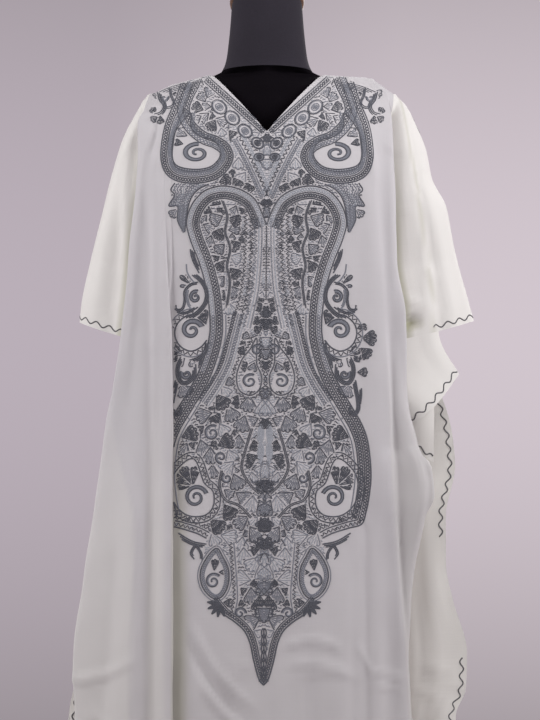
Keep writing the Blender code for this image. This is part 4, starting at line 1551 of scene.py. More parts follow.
paisley = smooth(PAISLEY)
lanes(paisley, (
    (0.0, "line", "dark", 1.5), (3.0, "rope", "dark", 1.7), (6.0, "line", "dark", 1.2),
    (8.9, "rope", "mid", 1.6), (11.6, "line", "dark", 1.2),
))
field = smooth(PAISLEY_FIELD, closed=True)
lanes(field, ((-1.2, "line", "dark", 1.3), (-3.6, "rope", "mid", 1.4)))
spiral((70, 77), 16.0, 1.5, 262, 1, 0.68, ("dark", "mid", "mid", "dark"))
fans(60, 3, (
    ((76, 57), 300, 13, "mid"), ((80, 60), 335, 12, "mid"), ((84, 68), 345, 9, "dark"),
))
keep_bare(field)
print("paisleys", thread_count(), "threads")

# %% Shoulder sprays
stem("dark", ((70, 6), (84, 8), (96, 11), (108, 16)), (0.0, 1.6, 3.1, 4.6))
stem("dark", ((98, 12), (97, 20), (94, 27), (99, 31), (104, 28)), (0.0, 1.6))
stem("dark", ((110, 16), (108, 24), (104, 30), (107, 36), (113, 38)), (0.0, 1.6, 3.1))
spiral((103, 22), 4.6, 1.0, 200, -1, 1.0, ("dark", "mid"))
fans(80, 3, (
    ((92, 12), 110, 8, "dark"), ((106, 16), 20, 9, "dark"), ((96, 28), 140, 8, "dark"),
    ((112, 38), 300, 7, "dark"), ((110, 41), 30, 7, "dark"), ((107, 40), 90, 8, "dark"),
))

# %% Flowers down the neckline and the point below
for place, radius in (((48, 31), 8.4), ((35, 42), 8.4), ((22, 55), 8.0), ((9.5, 67), 6.8)):
    flower(place, radius, heart="dark" if place[0] < 12 else "mid")
flower((8, 81), 5.0, 0.8, 0.0, "dark")
fans(80, 4, (
    ((60, 22), 250, 12, "mid"), ((62, 26), 300, 11, "mid"), ((64, 34), 340, 12, "dark"),
    ((56, 34), 200, 9, "dark"), ((66, 40), 30, 10, "mid"), ((52, 44), 60, 12, "dark"),
    ((62, 14), 275, 10, "dark"), ((46, 52), 100, 9, "light"),
))
point_line = smooth(((31, 62), (23, 76), (13, 96), (2, 121)))
lanes(point_line, (
    (0.0, "line", "mid", 1.3), (-3.2, "rope", "mid", 1.5), (3.4, "wave", "dark", 1.4),
    (7.0, "rope", "light", 1.5),
))

# %% Horns beside the waist of the paisleys
# Rows of thread that run down between the horn's scalloped outer edge and the teardrop.
HORN_INNER = ((58, 108), (68, 113), (75, 121), (79, 133), (82, 156))
HORN_OUTER = ((92, 107), (96, 114), (92, 119), (98, 130), (89, 130), (89, 144), (83, 156))
HORN_ROWS = 11
HORN_POINTS = 40
horn_inner, horn_outer = (
    evenly(line, run_of(line)[-1] / HORN_POINTS) for line in (smooth(HORN_INNER), smooth(HORN_OUTER))
)
for k, share in enumerate(np.linspace(0.0, 1.0, HORN_ROWS)):
    row = horn_inner + (horn_outer - horn_inner) * share
    if k in (0, HORN_ROWS - 1):
        sew("dark", row, 1.4)
    elif k % 2:
        wave("mid", row, 0.0, 1.0, 3.0)
    else:
        sew("light" if k % 4 else "mid", row, 1.2)

# %% Teardrops
TEARDROP = (
    (0, 149), (4, 138), (12, 123), (25, 114), (40, 110), (52, 111), (64, 116), (75, 129),
    (80, 146), (76, 164), (68, 184), (62, 203), (58, 222), (56, 241),
)
teardrop = smooth(TEARDROP)
lanes(teardrop, (
    (0.0, "line", "dark", 1.4), (3.1, "rope", "light", 1.7), (6.2, "line", "dark", 1.2),
    (9.3, "rope", "dark", 1.8), (12.4, "line", "dark", 1.3),
))
inner_side = smooth(((15, 142), (15, 166), (16, 190), (18, 212), (22, 232), (26, 250)))
lanes(inner_side, (
    (0.0, "zigzag", "dark", 1.9), (4.0, "zigzag", "mid", 1.7), (7.4, "line", "light", 1.3),
    (10.4, "line", "mid", 1.2),
))
lanes(smooth(((21, 134), (21, 165), (22, 190), (25, 214), (31, 240))), ((0.0, "zigzag", "dark", 1.7),))
sew("mid", np.array([(0.0, 150.0), (0.0, 224.0)]), 1.2)
STEM_OF_TEARDROP = ((45, 124), (40, 140), (42, 156), (37, 172), (40, 190), (37, 206), (40, 232))
stem("dark", STEM_OF_TEARDROP, (0.0, 1.4), 1.2)
fans(78, 4, (
    ((46, 128), 330, 13, "dark"), ((43, 128), 215, 13, "light"), ((44, 140), 25, 14, "mid"),
    ((38, 142), 160, 13, "dark"), ((44, 152), 60, 13, "dark"), ((38, 154), 190, 12, "mid"),
    ((38, 164), 130, 14, "dark"), ((42, 168), 45, 12, "mid"), ((36, 180), 160, 12, "light"),
    ((41, 184), 60, 13, "dark"), ((36, 192), 130, 13, "dark"), ((42, 200), 50, 12, "mid"),
    ((35, 210), 120, 13, "mid"), ((42, 214), 60, 11, "dark"), ((38, 226), 100, 13, "light"),
))
print("teardrops", thread_count(), "threads")

# %% Side scrolls
# Upper sprig and the hooked curl below it.
stem("dark", ((76, 173), (75, 180), (72, 188), (67, 197)), (0.0, 1.6, 3.0))
stem("mid", ((80, 188), (79, 196), (75, 203), (71, 207)))
stem("dark", ((74, 199), (66, 206), (61, 216), (62, 226), (69, 235), (80, 242)), (0.0, 1.6, 3.1))
spiral((70.5, 221), 7.4, 1.3, 250, 1, 1.0, ("dark", "mid", "dark"))
stem(
    "dark",
    ((68, 206), (76, 208), (82, 215), (82, 224), (84, 232), (89, 233), (90, 229)),
    (0.0, 1.6),
)
stem("mid", ((79, 212), (80, 220), (78, 229), (74, 233)), (0.0, 1.6))
stem("dark", ((89, 236), (83, 238), (76, 236), (68, 231)), (0.0, 1.5))
# The middle curl, in a ring with a wave in it.
spiral((74.0, 254), 13.0, 1.4, 200, 1, 0.95, ("dark", "mid", "mid", "dark"))
MIDDLE_RING = (
    (72, 238), (80, 240), (88, 247), (91, 256), (89, 265), (83, 272), (74, 275), (65, 271), (59, 264),
)
middle_ring = smooth(MIDDLE_RING)
lanes(middle_ring, (
    (0.0, "line", "dark", 1.5), (-3.0, "zigzag", "dark", 1.9), (-5.8, "line", "mid", 1.3),
))
# The lower curl and the hook at the end.
HOOK = ((85, 281), (89, 290), (89, 300), (84, 308), (76, 307), (70, 299), (70, 288))
stem("dark", HOOK, (0.0, 1.6, 3.1))
spiral((79, 298), 6.4, 1.2, 330, 1, 1.0, ("dark", "mid", "dark"))
stem("dark", ((60, 266), (62, 275), (68, 281), (76, 284)), (0.0, 1.6, 3.1))
stem("dark", ((64, 278), (66, 285), (67, 292)), (0.0, 1.5))
TAIL = ((90, 304), (92, 314), (94, 324), (94, 334), (89, 340), (84, 336), (85, 330))
stem("dark", TAIL, (0.0, 1.5, 2.9))
stem("dark", ((96, 312), (96, 320), (95, 328)), (0.0, 1.4))
SCROLL_FANS = (
    # base, towards, length, spread, lobes, tone
    ((76, 208), 320, 13, 26, 1, "dark"),
    ((76, 208), 285, 12, 26, 1, "dark"),
    ((77, 210), 0, 9, 26, 1, "mid"),
    ((60, 248), 290, 15, 62, 3, "dark"),
    ((72, 216), 200, 4, 60, 1, "mid"),
    ((82, 280), 325, 14, 50, 3, "dark"),
    ((82, 280), 10, 14, 44, 3, "dark"),
    ((81, 282), 55, 10, 44, 2, "mid"),
    ((74, 283), 100, 8, 80, 2, "mid"),
    ((92, 252), 350, 9, 60, 2, "dark"),
    ((84, 309), 110, 13, 120, 5, "mid"),
    ((92, 296), 0, 10, 70, 3, "dark"),
    ((96, 262), 0, 15, 80, 4, "dark"),
    ((95, 272), 45, 13, 80, 4, "dark"),
)
for base, towards, length, spread, lobes, tone in SCROLL_FANS:
    fan(tone, base, towards, length, spread, lobes)
print("scrolls", thread_count(), "threads")

# %% The bell and its borders
BELL = (
    (56, 239), (56, 257), (60, 276), (67, 296), (76, 313), (86, 330), (96, 347), (102, 363),
    (105, 382), (106, 402), (104, 422), (101, 437), (97, 448), (84, 452), (68, 457), (58, 462),
)
WAIST_SHARE = 0.20  # of the bell's line runs down to its waist
SIDE_SHARE = 0.79  # down to the end of its side, and the rest runs along its foot
bell = smooth(BELL)
waist_to = int(len(bell) * WAIST_SHARE)
foot_from = int(len(bell) * SIDE_SHARE)
lanes(bell[:waist_to], ((3.1, "rope", "mid", 1.7),))
lanes(bell[waist_to - 1 : foot_from], ((3.1, "rope", "dark", 1.8),))
lanes(bell[:foot_from], (
    (0.0, "line", "dark", 1.5), (6.2, "line", "dark", 1.3), (9.3, "rope", "dark", 1.8),
    (12.4, "line", "dark", 1.4), (15.8, "line", "mid", 1.3),
))
lanes(bell[foot_from - 2 :], (
    (0.0, "line", "dark", 1.5), (3.0, "zigzag", "dark", 1.8), (6.2, "line", "dark", 1.3),
    (9.2, "zigzag", "dark", 1.8),
))
inner_bell = smooth(((24, 238), (30, 262), (37, 288), (47, 308), (60, 328)))
lanes(inner_bell, (
    (0.0, "rope", "mid", 1.7), (3.6, "line", "light", 1.2), (-3.6, "line", "mid", 1.2),
    (-7.2, "rope", "dark", 1.7),
))

# %% Small paisleys at the middle
fans(80, 3, (
    ((4, 228), 40, 9, "dark"), ((8, 240), 60, 9, "dark"), ((4, 252), 20, 8, "dark"),
    ((16, 262), 330, 8, "mid"), ((22, 270), 60, 9, "dark"),
))
spiral((8.5, 274), 6.8, 1.3, 200)
SMALL = ((9, 262), (15, 272), (24, 284), (29, 300), (26, 314), (15, 319), (6, 313), (4, 300), (9, 286))
SMALL_FIELD = ((10, 297), (18, 295), (25, 303), (23, 312), (14, 315), (7, 309))
lanes(smooth(SMALL, closed=True), ((0.0, "line", "dark", 1.4), (-3.2, "zigzag", "dark", 1.6)))
spiral((15.5, 305), 8.6, 1.4, 240, 1, 0.9)
fan("dark", (21, 296), 280, 11, 60, 3)
keep_bare(smooth(SMALL_FIELD, closed=True))

# %% Bulbs, hooks and lower paisleys
BULB_FIELD = (
    (72, 384), (88, 396), (92, 412), (88, 428), (76, 438), (61, 438), (53, 430), (53, 416), (62, 407),
)
bulb = smooth(BULB_FIELD, closed=True)
lanes(bulb, ((-1.4, "line", "dark", 1.4), (-4.4, "zigzag", "dark", 1.8), (-7.6, "line", "dark", 1.3)))
spiral((69, 421), 13.0, 1.55, 200, 1, 1.0, ("dark", "mid", "dark"))
for towards, length in ((262, 19), (300, 21), (335, 20), (5, 15)):
    fan("dark", (72, 409), towards, length, 34, 3)
keep_bare(bulb)
stem("dark", ((58, 468), (72, 465), (86, 457)), (0.0, 1.8, 3.4))
stem("dark", ((62, 484), (63, 476), (69, 469), (74, 477), (70, 483)), (0.0, 1.6))
LOWER = (
    (48, 472), (58, 482), (64, 497), (61, 512), (51, 522), (42, 520), (36, 508), (36, 493), (42, 480),
)
LOWER_FIELD = (
    (48, 478), (56, 486), (60, 498), (57, 510), (50, 517), (43, 514), (40, 504), (41, 490),
)
lanes(
    smooth(LOWER, closed=True),
    ((0.0, "line", "dark", 1.5), (2.8, "rope", "mid", 1.4), (-2.4, "line", "mid", 1.1)),
)
spiral((51, 505), 8.6, 1.5, 220)
fan("dark", (50, 494), 265, 11, 50, 3)
fan("dark", (45, 496), 180, 6, 60, 2)
keep_bare(smooth(LOWER_FIELD, closed=True))
for towards in (350, 20, 50, 80, 110):
    petal("dark", np.array([44.0, 528.0]), towards, 13, 3.4)

# %% The point
POINT = (
    (62, 466), (60, 474), (64, 492), (62, 510), (52, 524), (40, 538), (30, 545), (20, 554),
    (14, 566), (10, 584), (5, 602), (0, 609),
)
lanes(smooth(POINT[4:]), (
    (0.0, "line", "dark", 1.6), (3.2, "rope", "dark", 1.6), (6.2, "line", "dark", 1.2),
))
spiral((24, 537), 6.6, 1.3, 180)
for down in range(552, 600, 8):
    petal("dark", np.array([0.8, down]), 84, 9, 2.4)
lanes(
    smooth(((34, 466), (32, 490), (30, 520), (33, 538))),
    ((0.0, "zigzag", "dark", 1.7), (3.4, "line", "mid", 1.2)),
)

# %% Leaves of the bell
spiral((53, 357), 8.8, 1.5, 240)
spiral((44, 381), 6.8, 1.3, 100, -1)
spiral((38, 402), 6.0, 1.3, 300)
for down in (348, 366):
    petal("light", np.array([4.0, down]), 88, 22, 6.0)
for at in (0.0, 1.6):
    stem("dark", ((14, 352), (20, 372), (24, 392), (16, 408), (6, 418)), (at,), 1.2)
    stem("dark", ((44, 394), (46, 410), (40, 424), (26, 430), (14, 442)), (at,), 1.2)
PARTED_AT = 322  # the leaves above this line are smaller than those below it
NECKLINE_ENDS = ((0, 52), (58, 0), (74, 3))
BESIDE_HORN = ((97, 112), (92, 140), (86, 149))
whole = np.array(
    NECKLINE_ENDS + PAISLEY[:7] + BESIDE_HORN + TEARDROP[8:-1] + BELL + POINT[1:], float
)
below = whole.copy()
below[:, 1] = np.maximum(below[:, 1], PARTED_AT)
above = whole.copy()
above[:, 1] = np.minimum(above[:, 1], PARTED_AT)
tones = ("dark", "mid", "dark", "light", "mid")
leaves = leafage(below, (7.8, 6.4, 5.2, 4.2, 3.4), 95, 80, tones)
leaves += leafage(above, (5.6, 4.4, 3.4), 95, 80, tones)
print("leaves", leaves, "and in all", thread_count(), "threads")

# %% The ground
GROUND_GAP = 2.4  # squares between two rows
RUN = 9  # squares that a tone lasts

for down in np.arange(1.0, CHART_SIZE[1], GROUND_GAP):
    across = np.arange(0.3, CHART_SIZE[0] - 1, 1.0)
    line = np.stack([across, np.full(len(across), down)], axis=-1)
    line[:, 1] += 3.0 * slow_change(line, 1) + 0.6 * np.sin(across * 2.1 + down)
    line = line[inside(line, whole)]
    for start in range(0, len(line) - 1, RUN):
        part = line[start : start + RUN + 1]
        shade = float(slow_change(part[0], 4) + 0.6 * slow_change(part[0] * 3, 7))
        tone = "light" if shade < -0.1 else "mid" if shade < 0.5 else "dark"
        sew_where_free(tone, part, 1.2)
print("ground", thread_count(), "threads")

# %% [markdown]
# ## Sewing the chart onto the cloth
#
# The chart is held up flat in front of the chest and carried onto the creased cloth along the
# line of sight, as chalk lines would be by a projector. Each thread is a narrow raised strip
# with a ridge down its middle, so that it catches light. Nothing is sewn where the long pleat
# laps over the panel.

# %% Strips of thread
class Strips:
    """Narrow strips with a ridge down their middle, gathered into one mesh."""

    def __init__(self):
        self.vertices = []
        self.faces = []
        self.weave = []

    def add(self, places, normals, run, width, low, high):
        """One strip through places on the cloth, standing up along their normals."""
        if len(places) < 2:
            return
        places, normals = np.array(places), np.array(normals)
        beside = np.cross(normals, np.gradient(places, axis=0))
        beside *= width / 2 / np.maximum(np.linalg.norm(beside, axis=1, keepdims=True), 1e-9)
        base, ridge = places + normals * low, places + normals * high
        first = len(self.vertices)
        self.vertices += np.stack([base - beside, ridge, base + beside], 1).reshape(-1, 3).tolist()
        self.weave += [(along, side) for along in run for side in (-0.5, 0.0, 0.5)]
        for a in range(first, first + 3 * len(places) - 3, 3):
            self.faces += [(a + 3, a + 4, a + 1, a), (a + 4, a + 5, a + 2, a + 1)]

    def made(self, name, finish):
        """The strips as one piece."""
        mesh = bpy.data.meshes.new(name)
        mesh.from_pydata(self.vertices, [], self.faces)
        set_uv(mesh, mesh.uv_layers.new(name="UVMap"), np.array(self.weave))
        mesh.materials.append(finish)
        piece = bpy.data.objects.new(name, mesh)
        bpy.context.scene.collection.objects.link(piece)
        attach(piece, "root")
        print(name, 2 * len(self.faces), "triangles")
        return piece


# %% Threads on the cloth
CHART_PLANE = -0.14  # the chart is held up here, as a y
CHART_TOP = 1.4025
CHART_MIDDLE = 0.00105
FRONT_OF = -0.001  # no thread lands behind this y
BESIDE_PLEAT = 0.002  # nor closer than this to the pleat's edge
CHART_LEAN = -0.0000095  # the panel's middle drifts this far for each square down
LONGEST_STEP = 0.012  # a thread that would leap further over a fold is parted there
THREAD_RISE = {"light": (0.00010, 0.00060), "mid": (0.00015, 0.00075), "dark": (0.00020, 0.00090)}

cloth_tree = BVHTree.FromPolygons(
    [v.co[:] for v in front.data.vertices], [p.vertices[:] for p in front.data.polygons]
)
eye = Vector(CAMERA_PLACE)
pleat_heights = np.linspace(HEM_HEIGHT, 1.42, 140)
pleat_edges = column(PLEAT, "edge", pleat_heights)


def carried(across, down):
    """The place on the cloth of a point of the chart, with its normal, or nothing."""
    on_plane = Vector(
        (CHART_MIDDLE + CHART_LEAN * down + across * SQUARE, CHART_PLANE, CHART_TOP - down * SQUARE)
    )
    place, normal, _, _ = cloth_tree.ray_cast(eye, (on_plane - eye).normalized())
    if place is None or place.y > FRONT_OF:
        return None
    bare_to = np.interp(place.z, pleat_heights, pleat_edges) + BESIDE_PLEAT
    if place.z < LEVEL_FROM and place.x < bare_to:
        return None
    return place, normal


def sewn(tone, finish):
    """All threads of one tone, with their mirror images, as one piece."""
    strips = Strips()
    low, high = THREAD_RISE[tone]
    for line, width in threads[tone]:
        run = run_of(line) * SQUARE
        for side in (-1, 1):
            found = []
            for (across, down), along in [*zip(line, run), ((0.0, -999.0), 0.0)]:
                spot = carried(side * across, down) if down > -1 else None
                leap = spot and found and (spot[0] - found[-1][0]).length > LONGEST_STEP
                if found and (spot is None or leap):
                    places, normals, alongs = zip(*found)
                    strips.add(places, normals, alongs, width * SQUARE, low, high)
                    found = []
                if spot:
                    found.append((*spot, along))
    return strips.made("embroidery_" + tone, finish)


# %% Grey thread
LINK = 0.0022  # the length of one link of the chain


def grey_thread(name, dark, light):
    """Chain stitch: each link is a small loop, darker where the next one starts."""
    thread = Finish(name, {"Roughness": 0.7, "Sheen Weight": 0.15, "Sheen Roughness": 0.4})
    place = thread.node("UVMap", {}, {})
    links = thread.bands("X", place, WAVE / LINK)
    where = thread.node("TexCoord", {}, {}, out=3)
    slow = thread.noise(where, 60.0, 2.0)
    fibre = thread.noise(where, 1500.0, 2.0)
    colour = thread.mix(links * 0.45 + slow * 0.35 + fibre * 0.2, dark, light)
    return thread.finish(colour, links * 0.7 + fibre * 0.3, strength=0.4, distance=0.0004)


THREAD_COLOURS = (
    ("light", (0.230, 0.236, 0.270), (0.405, 0.414, 0.462)),
    ("mid", (0.115, 0.118, 0.143), (0.238, 0.244, 0.286)),
    ("dark", (0.046, 0.047, 0.060), (0.112, 0.114, 0.140)),
)
for tone, dark, light in THREAD_COLOURS:
    sewn(tone, grey_thread(tone + "_grey_thread", dark, light))

# %% [markdown]
# ## Stitching along the edges
#
# The cloth's own edges are bound by one dark thread that runs in a smooth wave a little inside
# them: round the cuffs, down the wings, along the falling edges of the cascade and round the
# hem. It goes through the cloth, so it shows on both faces.

# %% Wavy edge stitching
EDGE_DISTANCE = 0.0080  # from the cloth's edge to the middle of the wave
EDGE_SWING = 0.0030
EDGE_PITCH = 0.0215
EDGE_STEP = 0.0016
EDGE_WIDTH = 0.0021
EDGE_RISE = (0.0001, 0.0009)
edge_strips = Strips()


def from_edge(grid, edge):
    """The grid's lines of points, from one of its edges inward."""
    if edge == "foot":
        return grid[::-1]
    turned = np.swapaxes(grid, 0, 1)
    return turned[::-1] if edge == "last" else turned


def stitch_edge(points, edge, away=EDGE_DISTANCE, stretch=(0.0, 1.0)):
    """Sews a wave along one edge of a piece, on both faces of the cloth."""
    lines, normals = from_edge(points, edge), from_edge(outward(points), edge)
    run = run_of(lines[0])
    alongs = np.arange(stretch[0] * run[-1], stretch[1] * run[-1], EDGE_STEP)
    places, facings = [], []
    for along, at in zip(alongs, np.interp(alongs, run, range(len(run)))):
        k = min(int(at), len(run) - 2)
        inward = lines[:, k] * (1 - at + k) + lines[:, k + 1] * (at - k)
        depth = run_of(inward)
        wanted = away + EDGE_SWING * math.sin(2 * math.pi * along / EDGE_PITCH)
        row = float(np.interp(wanted, depth, range(len(depth))))
        j = min(int(row), len(depth) - 2)
        places.append(inward[j] * (1 - row + j) + inward[j + 1] * (row - j))
        facings.append(normals[j, k])
    places, facings = np.array(places), np.array(facings)
    edge_strips.add(places + facings * CLOTH, facings, alongs, EDGE_WIDTH, *EDGE_RISE)
    edge_strips.add(places, -facings, alongs, EDGE_WIDTH, *EDGE_RISE)


# %% Every edge of the cloth
for piece_points in (front_points, back_points, upper_points, lower_points):
    stitch_edge(piece_points, "foot")
FROM_CASCADE = {-1: 0, 1: UPPER_FLAP_COLUMNS[1] - 2}  # the column where each cuff's edge starts
# Where a wing's edge is turned back behind it, as parts of its length, it has no stitch in front.
TURNED_BACK = {
    (1, "front"): (0.29, 0.50), (-1, "front"): (0.20, 0.52), (1, "back"): (1, 1), (-1, "back"): (1, 1)
}
for side in SIDES:
    stitch_edge(sleeve_grids[side][:, FROM_CASCADE[side] :], "foot")
    for which, facing in FACING.items():
        wing = wing_grids[side, which]
        turned_from, turned_to = TURNED_BACK[side, which]
        stitch_edge(wing, "foot")
        for stretch in ((0.0, turned_from), (turned_to, 1.0)):
            if stretch[0] < stretch[1]:
                stitch_edge(wing, "last" if side * facing < 0 else "first", stretch=stretch)

# The fold of each sleeve lets a little of it show at the shoulder.
SHOULDER_GLIMPSE = {-1: (0.08, 0.19), 1: (0.11, 0.18)}
for side, stretch in SHOULDER_GLIMPSE.items():
    sleeve = sleeve_grids[side]
    at_fold = sleeve.shape[1] // 2
    behind_fold = sleeve[:, at_fold:] if side > 0 else sleeve[:, : at_fold + 1]
    stitch_edge(behind_fold, "first" if side > 0 else "last", 0.001, stretch)
edge_thread = grey_thread("edge_thread", (0.060, 0.058, 0.064), (0.14, 0.135, 0.145))
edge_strips.made("edge_stitching", edge_thread)

# %% [markdown]
# ## The dress form
#
# The form is a padded body in black jersey, with a charcoal cover on its neck and a turned
# wooden cap. Its body is a barrel of many thin rings: a cylinder, cut into slices, whose
# vertices are carried out to the oval of each height. The neck is made in the same way.

# %% Sections of the form
FORM_LOW, FORM_TOP = 0.740, 1.4345
FORM_SECTIONS = (
    ("height", "half_width", "half_depth", "middle", "roundness"),
    (FORM_LOW, 0.16, 0.108, 0.004, 2.2),
    (0.79, 0.168, 0.116, 0.004, 2.2),
    (0.86, 0.168, 0.116, 0.003, 2.2),
    (0.94, 0.15, 0.102, 0.0, 2.2),
    (1.04, 0.12, 0.088, 0.0, 2.2),
    (1.12, 0.136, 0.097, 0.0, 2.2),
    (1.2, 0.15, 0.112, -0.006, 2.2),
    (1.27, 0.155, 0.108, -0.004, 2.2),
    (1.33, 0.164, 0.098, 0.0, 2.0),
    (1.37, 0.173, 0.09, 0.0, 1.8),
    (1.388, 0.166, 0.084, 0.001, 1.5),
    (1.402, 0.156, 0.079, 0.001, 1.3),
    (1.4155, 0.138, 0.065, 0.001, 1.05),
    (1.4267, 0.0895, 0.052, 0.001, 1.05),
    (FORM_TOP, 0.0705, 0.061, 0.007, 2.0),
)
NECK_LOW, NECK_TOP = 1.4350, 1.5350
NECK_SECTIONS = (
    ("height", "half_width", "half_depth", "middle", "slant"),
    (NECK_LOW, 0.0705, 0.061, 0.007, 0.0),
    (1.444, 0.066, 0.061, 0.008, 0.02),
    (1.457, 0.0625, 0.059, 0.006, 0.06),
    (1.475, 0.06, 0.057, 0.004, 0.12),
    (1.503, 0.057, 0.055, 0.002, 0.25),
    (NECK_TOP, 0.0545, 0.053, 0.0, 0.42),
)
UNDER_CLOTH = 0.0012  # the form is this much slimmer than the solid, where cloth lies on it


def sliced_body(name, heights, ring_at, sides):
    """A cylinder cut into slices, each carried out to its own ring."""
    deselect_all()
    bpy.ops.mesh.primitive_cylinder_add(
        vertices=sides, radius=1.0, depth=1.0, location=(0, 0, 0), end_fill_type="NGON"
    )
    body = bpy.context.object
    body.name = body.data.name = name
    bpy.ops.object.mode_set(mode="EDIT")
    mesh = bmesh.from_edit_mesh(body.data)
    uprights = [e for e in mesh.edges if abs(e.verts[0].co.z - e.verts[1].co.z) > 0.5]
    bmesh.ops.subdivide_edges(mesh, edges=uprights, cuts=len(heights) - 2, use_grid_fill=True)
    bmesh.update_edit_mesh(body.data)
    bpy.ops.object.mode_set(mode="OBJECT")
    for vertex in body.data.vertices:
        level = int(round((vertex.co.z + 0.5) * (len(heights) - 1)))
        vertex.co = ring_at(heights[level], math.atan2(vertex.co.y, vertex.co.x))
    bpy.ops.object.shade_smooth_by_angle(angle=SHARP)
    return body


# %% Form body
def form_ring(height, turn):
    """A point on the form's body, at a height and a turn round it."""
    half_width, half_depth, middle, roundness = row_at(FORM_SECTIONS, height)
    c, s = math.cos(turn), math.sin(turn)
    x = (half_width - UNDER_CLOTH) * math.copysign(abs(c) ** (2 / roundness), c)
    y = (half_depth - UNDER_CLOTH) * math.copysign(abs(s) ** (2 / roundness), s)
    return (x, middle + y, height)


def neck_ring(height, turn):
    """A point on the neck cover, whose rings rise towards the front."""
    half_width, half_depth, middle, slant = row_at(NECK_SECTIONS, height)
    c, s = math.cos(turn), math.sin(turn)
    y = half_depth * s
    return (half_width * c, middle + y * math.cos(slant), height - y * math.sin(slant))


def jersey(name, dark, light, sheen, shine):
    """Fine knit: columns of stitches, with lint and a slow change of tone."""
    looks = {"Sheen Weight": sheen, "Sheen Roughness": 0.4, "Specular IOR Level": shine}
    knit = Finish(name, looks)
    place = knit.node("TexCoord", {}, {}, out=3)
    ribs = knit.bands("X", place, 260.0, 1.5)
    loops = knit.bands("Z", place, 330.0, 1.0)
    lint = knit.noise(place, 420.0, 3.0)
    slow = knit.noise(place, 18.0, 2.0)
    return knit.finish(
        knit.mix(lint * 0.5 + slow * 0.5, dark, light),
        ribs * 0.5 + loops * 0.5 + lint,
        strength=0.35,
        distance=0.0004,
        roughness=slow * 0.15 + 0.80,
    )


# The slices stand closer from the shoulders up.
form_heights = [*np.linspace(FORM_LOW, 1.36, 40), *np.linspace(1.366, FORM_TOP, 24)]
torso = sliced_body("form_body", form_heights, form_ring, 96)
torso.data.materials.append(
    jersey("black_jersey", (0.003, 0.0022, 0.0032), (0.006, 0.0045, 0.0065), sheen=0.0, shine=0.03)
)
neck = sliced_body("form_neck_cover", np.linspace(NECK_LOW, NECK_TOP, 26), neck_ring, 96)
neck.data.materials.append(
    jersey("charcoal_cover", (0.018, 0.015, 0.021), (0.036, 0.031, 0.042), sheen=0.08, shine=0.15)
)
for piece, node, slot in (
    (torso, "form_torso", "black_jersey"),
    (neck, "form_neck", "charcoal_cover"),
):
    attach(piece, "root")
    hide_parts(node)
print("form", len(torso.data.polygons) + len(neck.data.polygons), "faces")

# %% [markdown]
# ## Cap, pole and base
#
# The neck is closed by a turned wooden cap that leans back with it, and the form stands on a
# steel pole in a round base. All three are turned pieces: a cylinder whose rim is bevelled,
# and for the base a boss drawn up from its middle. The pole and the base are out of the
# picture, so they are finished plainly, in black lacquer.

# %% Turned pieces
CAP_RADIUS = 0.0578
CAP_HEIGHT = 0.020
CAP_ROUNDING = 0.007
BASE_RADIUS = 0.190
BASE_THICKNESS = 0.006
BOSS_RADIUS = 0.032
BOSS_HEIGHT = 0.045
EDGE_ROUNDING = 0.0022
POLE_RADIUS = 0.014
POLE_ROUNDING = 0.001
GAP = 0.0003  # between one piece of the form and the next
CAP_SHARP, STAND_SHARP = math.radians(40), math.radians(30)  # edges that turn more stay sharp


def opened(piece):
    """Opens a piece in edit mode with nothing selected, and gives its mesh."""
    bpy.ops.object.mode_set(mode="EDIT")
    bpy.ops.mesh.select_all(action="DESELECT")
    return bmesh.from_edit_mesh(piece.data)


def turned(name, radius, low, high, rounding, sides=96):
    """A disc or rod that stands on the axis, with its rims rounded."""
    deselect_all()
    bpy.ops.mesh.primitive_cylinder_add(
        vertices=sides, radius=radius, depth=high - low, location=(0, 0, (low + high) / 2)
    )
    made = bpy.context.object
    made.name = made.data.name = name
    bpy.ops.object.transform_apply(location=True, rotation=True, scale=True)
    mesh = opened(made)
    for edge in mesh.edges:
        edge.select = abs(edge.verts[0].co.z - edge.verts[1].co.z) < 1e-6
    bmesh.update_edit_mesh(made.data)
    bpy.ops.mesh.bevel(offset=rounding, segments=5, affect="EDGES")
    bpy.ops.object.mode_set(mode="OBJECT")
    return made


# %% Wooden cap
def turned_wood():
    wood = Finish("turned_wood", {"Coat Weight": 0.25, "Coat Roughness": 0.25})
    place = wood.node("TexCoord", {}, {}, out=3)
    bent = wood.noise(place, 9.0, 3.0)
    grain = wood.node(
        "TexWave",
        {"wave_type": "RINGS", "rings_direction": "X"},
        {"Vector": place, "Scale": 34.0, "Distortion": 6.0, "Detail": 3.0, "Detail Scale": 2.0},
        out=1,
    )
    pores = wood.noise(wood.stretched(place, (40.0, 900.0, 900.0)), 1.0, 3.0)
    colour = wood.mix(grain * 0.7 + pores * 0.3, (0.085, 0.038, 0.022), (0.200, 0.098, 0.048))
    return wood.finish(
        colour, pores * 0.6 + grain * 0.2, strength=0.2, distance=0.0005, roughness=bent * 0.2 + 0.3
    )


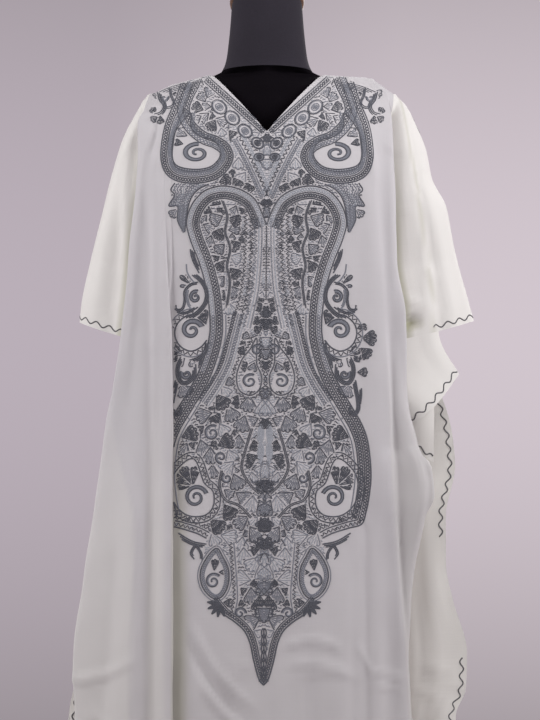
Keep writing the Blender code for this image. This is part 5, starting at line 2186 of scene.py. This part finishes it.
cap = turned("cap", CAP_RADIUS, 0.0, CAP_HEIGHT, CAP_ROUNDING)
bpy.ops.object.shade_smooth_by_angle(angle=CAP_SHARP)
height, _, _, middle, slant = NECK_SECTIONS[-1]
cap.location = (0.0, middle + GAP * math.sin(slant), height + GAP * math.cos(slant))
cap.rotation_euler = (-slant, 0.0, 0.0)
bpy.ops.object.transform_apply(location=True, rotation=True, scale=True)
cap.data.materials.append(turned_wood())

# %% Pole and base
def black_lacquer():
    lacquer = Finish("black_lacquer", {"Metallic": 0.0, "Coat Weight": 0.3, "Coat Roughness": 0.2})
    place = lacquer.node("TexCoord", {}, {}, out=3)
    peel = lacquer.noise(place, 160.0, 2.0)
    smudge = lacquer.noise(place, 14.0, 3.0)
    return lacquer.finish(
        lacquer.mix(smudge, (0.012, 0.012, 0.013), (0.024, 0.024, 0.026)),
        peel,
        strength=0.08,
        distance=0.0004,
        roughness=smudge * 0.2 + 0.28,
    )


lacquer = black_lacquer()
base = turned("round_base", BASE_RADIUS, 0.0, BASE_THICKNESS, EDGE_ROUNDING)
mesh = opened(base)
for face in mesh.faces:
    face.select = len(face.verts) > 8 and face.normal.z > 0.9
bmesh.update_edit_mesh(base.data)
bpy.ops.mesh.inset(thickness=BASE_RADIUS - EDGE_ROUNDING - BOSS_RADIUS)
bpy.ops.mesh.extrude_region_move(TRANSFORM_OT_translate={"value": (0, 0, BOSS_HEIGHT)})
bpy.ops.mesh.inset(thickness=EDGE_ROUNDING)
bpy.ops.object.mode_set(mode="OBJECT")
bpy.ops.object.shade_smooth_by_angle(angle=STAND_SHARP)
base.data.materials.append(lacquer)

pole_foot, pole_head = BASE_THICKNESS + BOSS_HEIGHT + GAP, FORM_LOW - GAP
pole = turned("pole", POLE_RADIUS, pole_foot, pole_head, POLE_ROUNDING, sides=64)
bpy.ops.object.shade_smooth_by_angle(angle=STAND_SHARP)
pole.data.materials.append(lacquer)
for piece, node, slot in (
    (cap, "neck_cap", "turned_wood"),
    (base, "stand_base", "black_steel"),
    (pole, "form_pole", "black_steel"),
):
    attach(piece, "root")
    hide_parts(node)
print("stand", len(base.data.polygons) + len(pole.data.polygons) + len(cap.data.polygons), "faces")
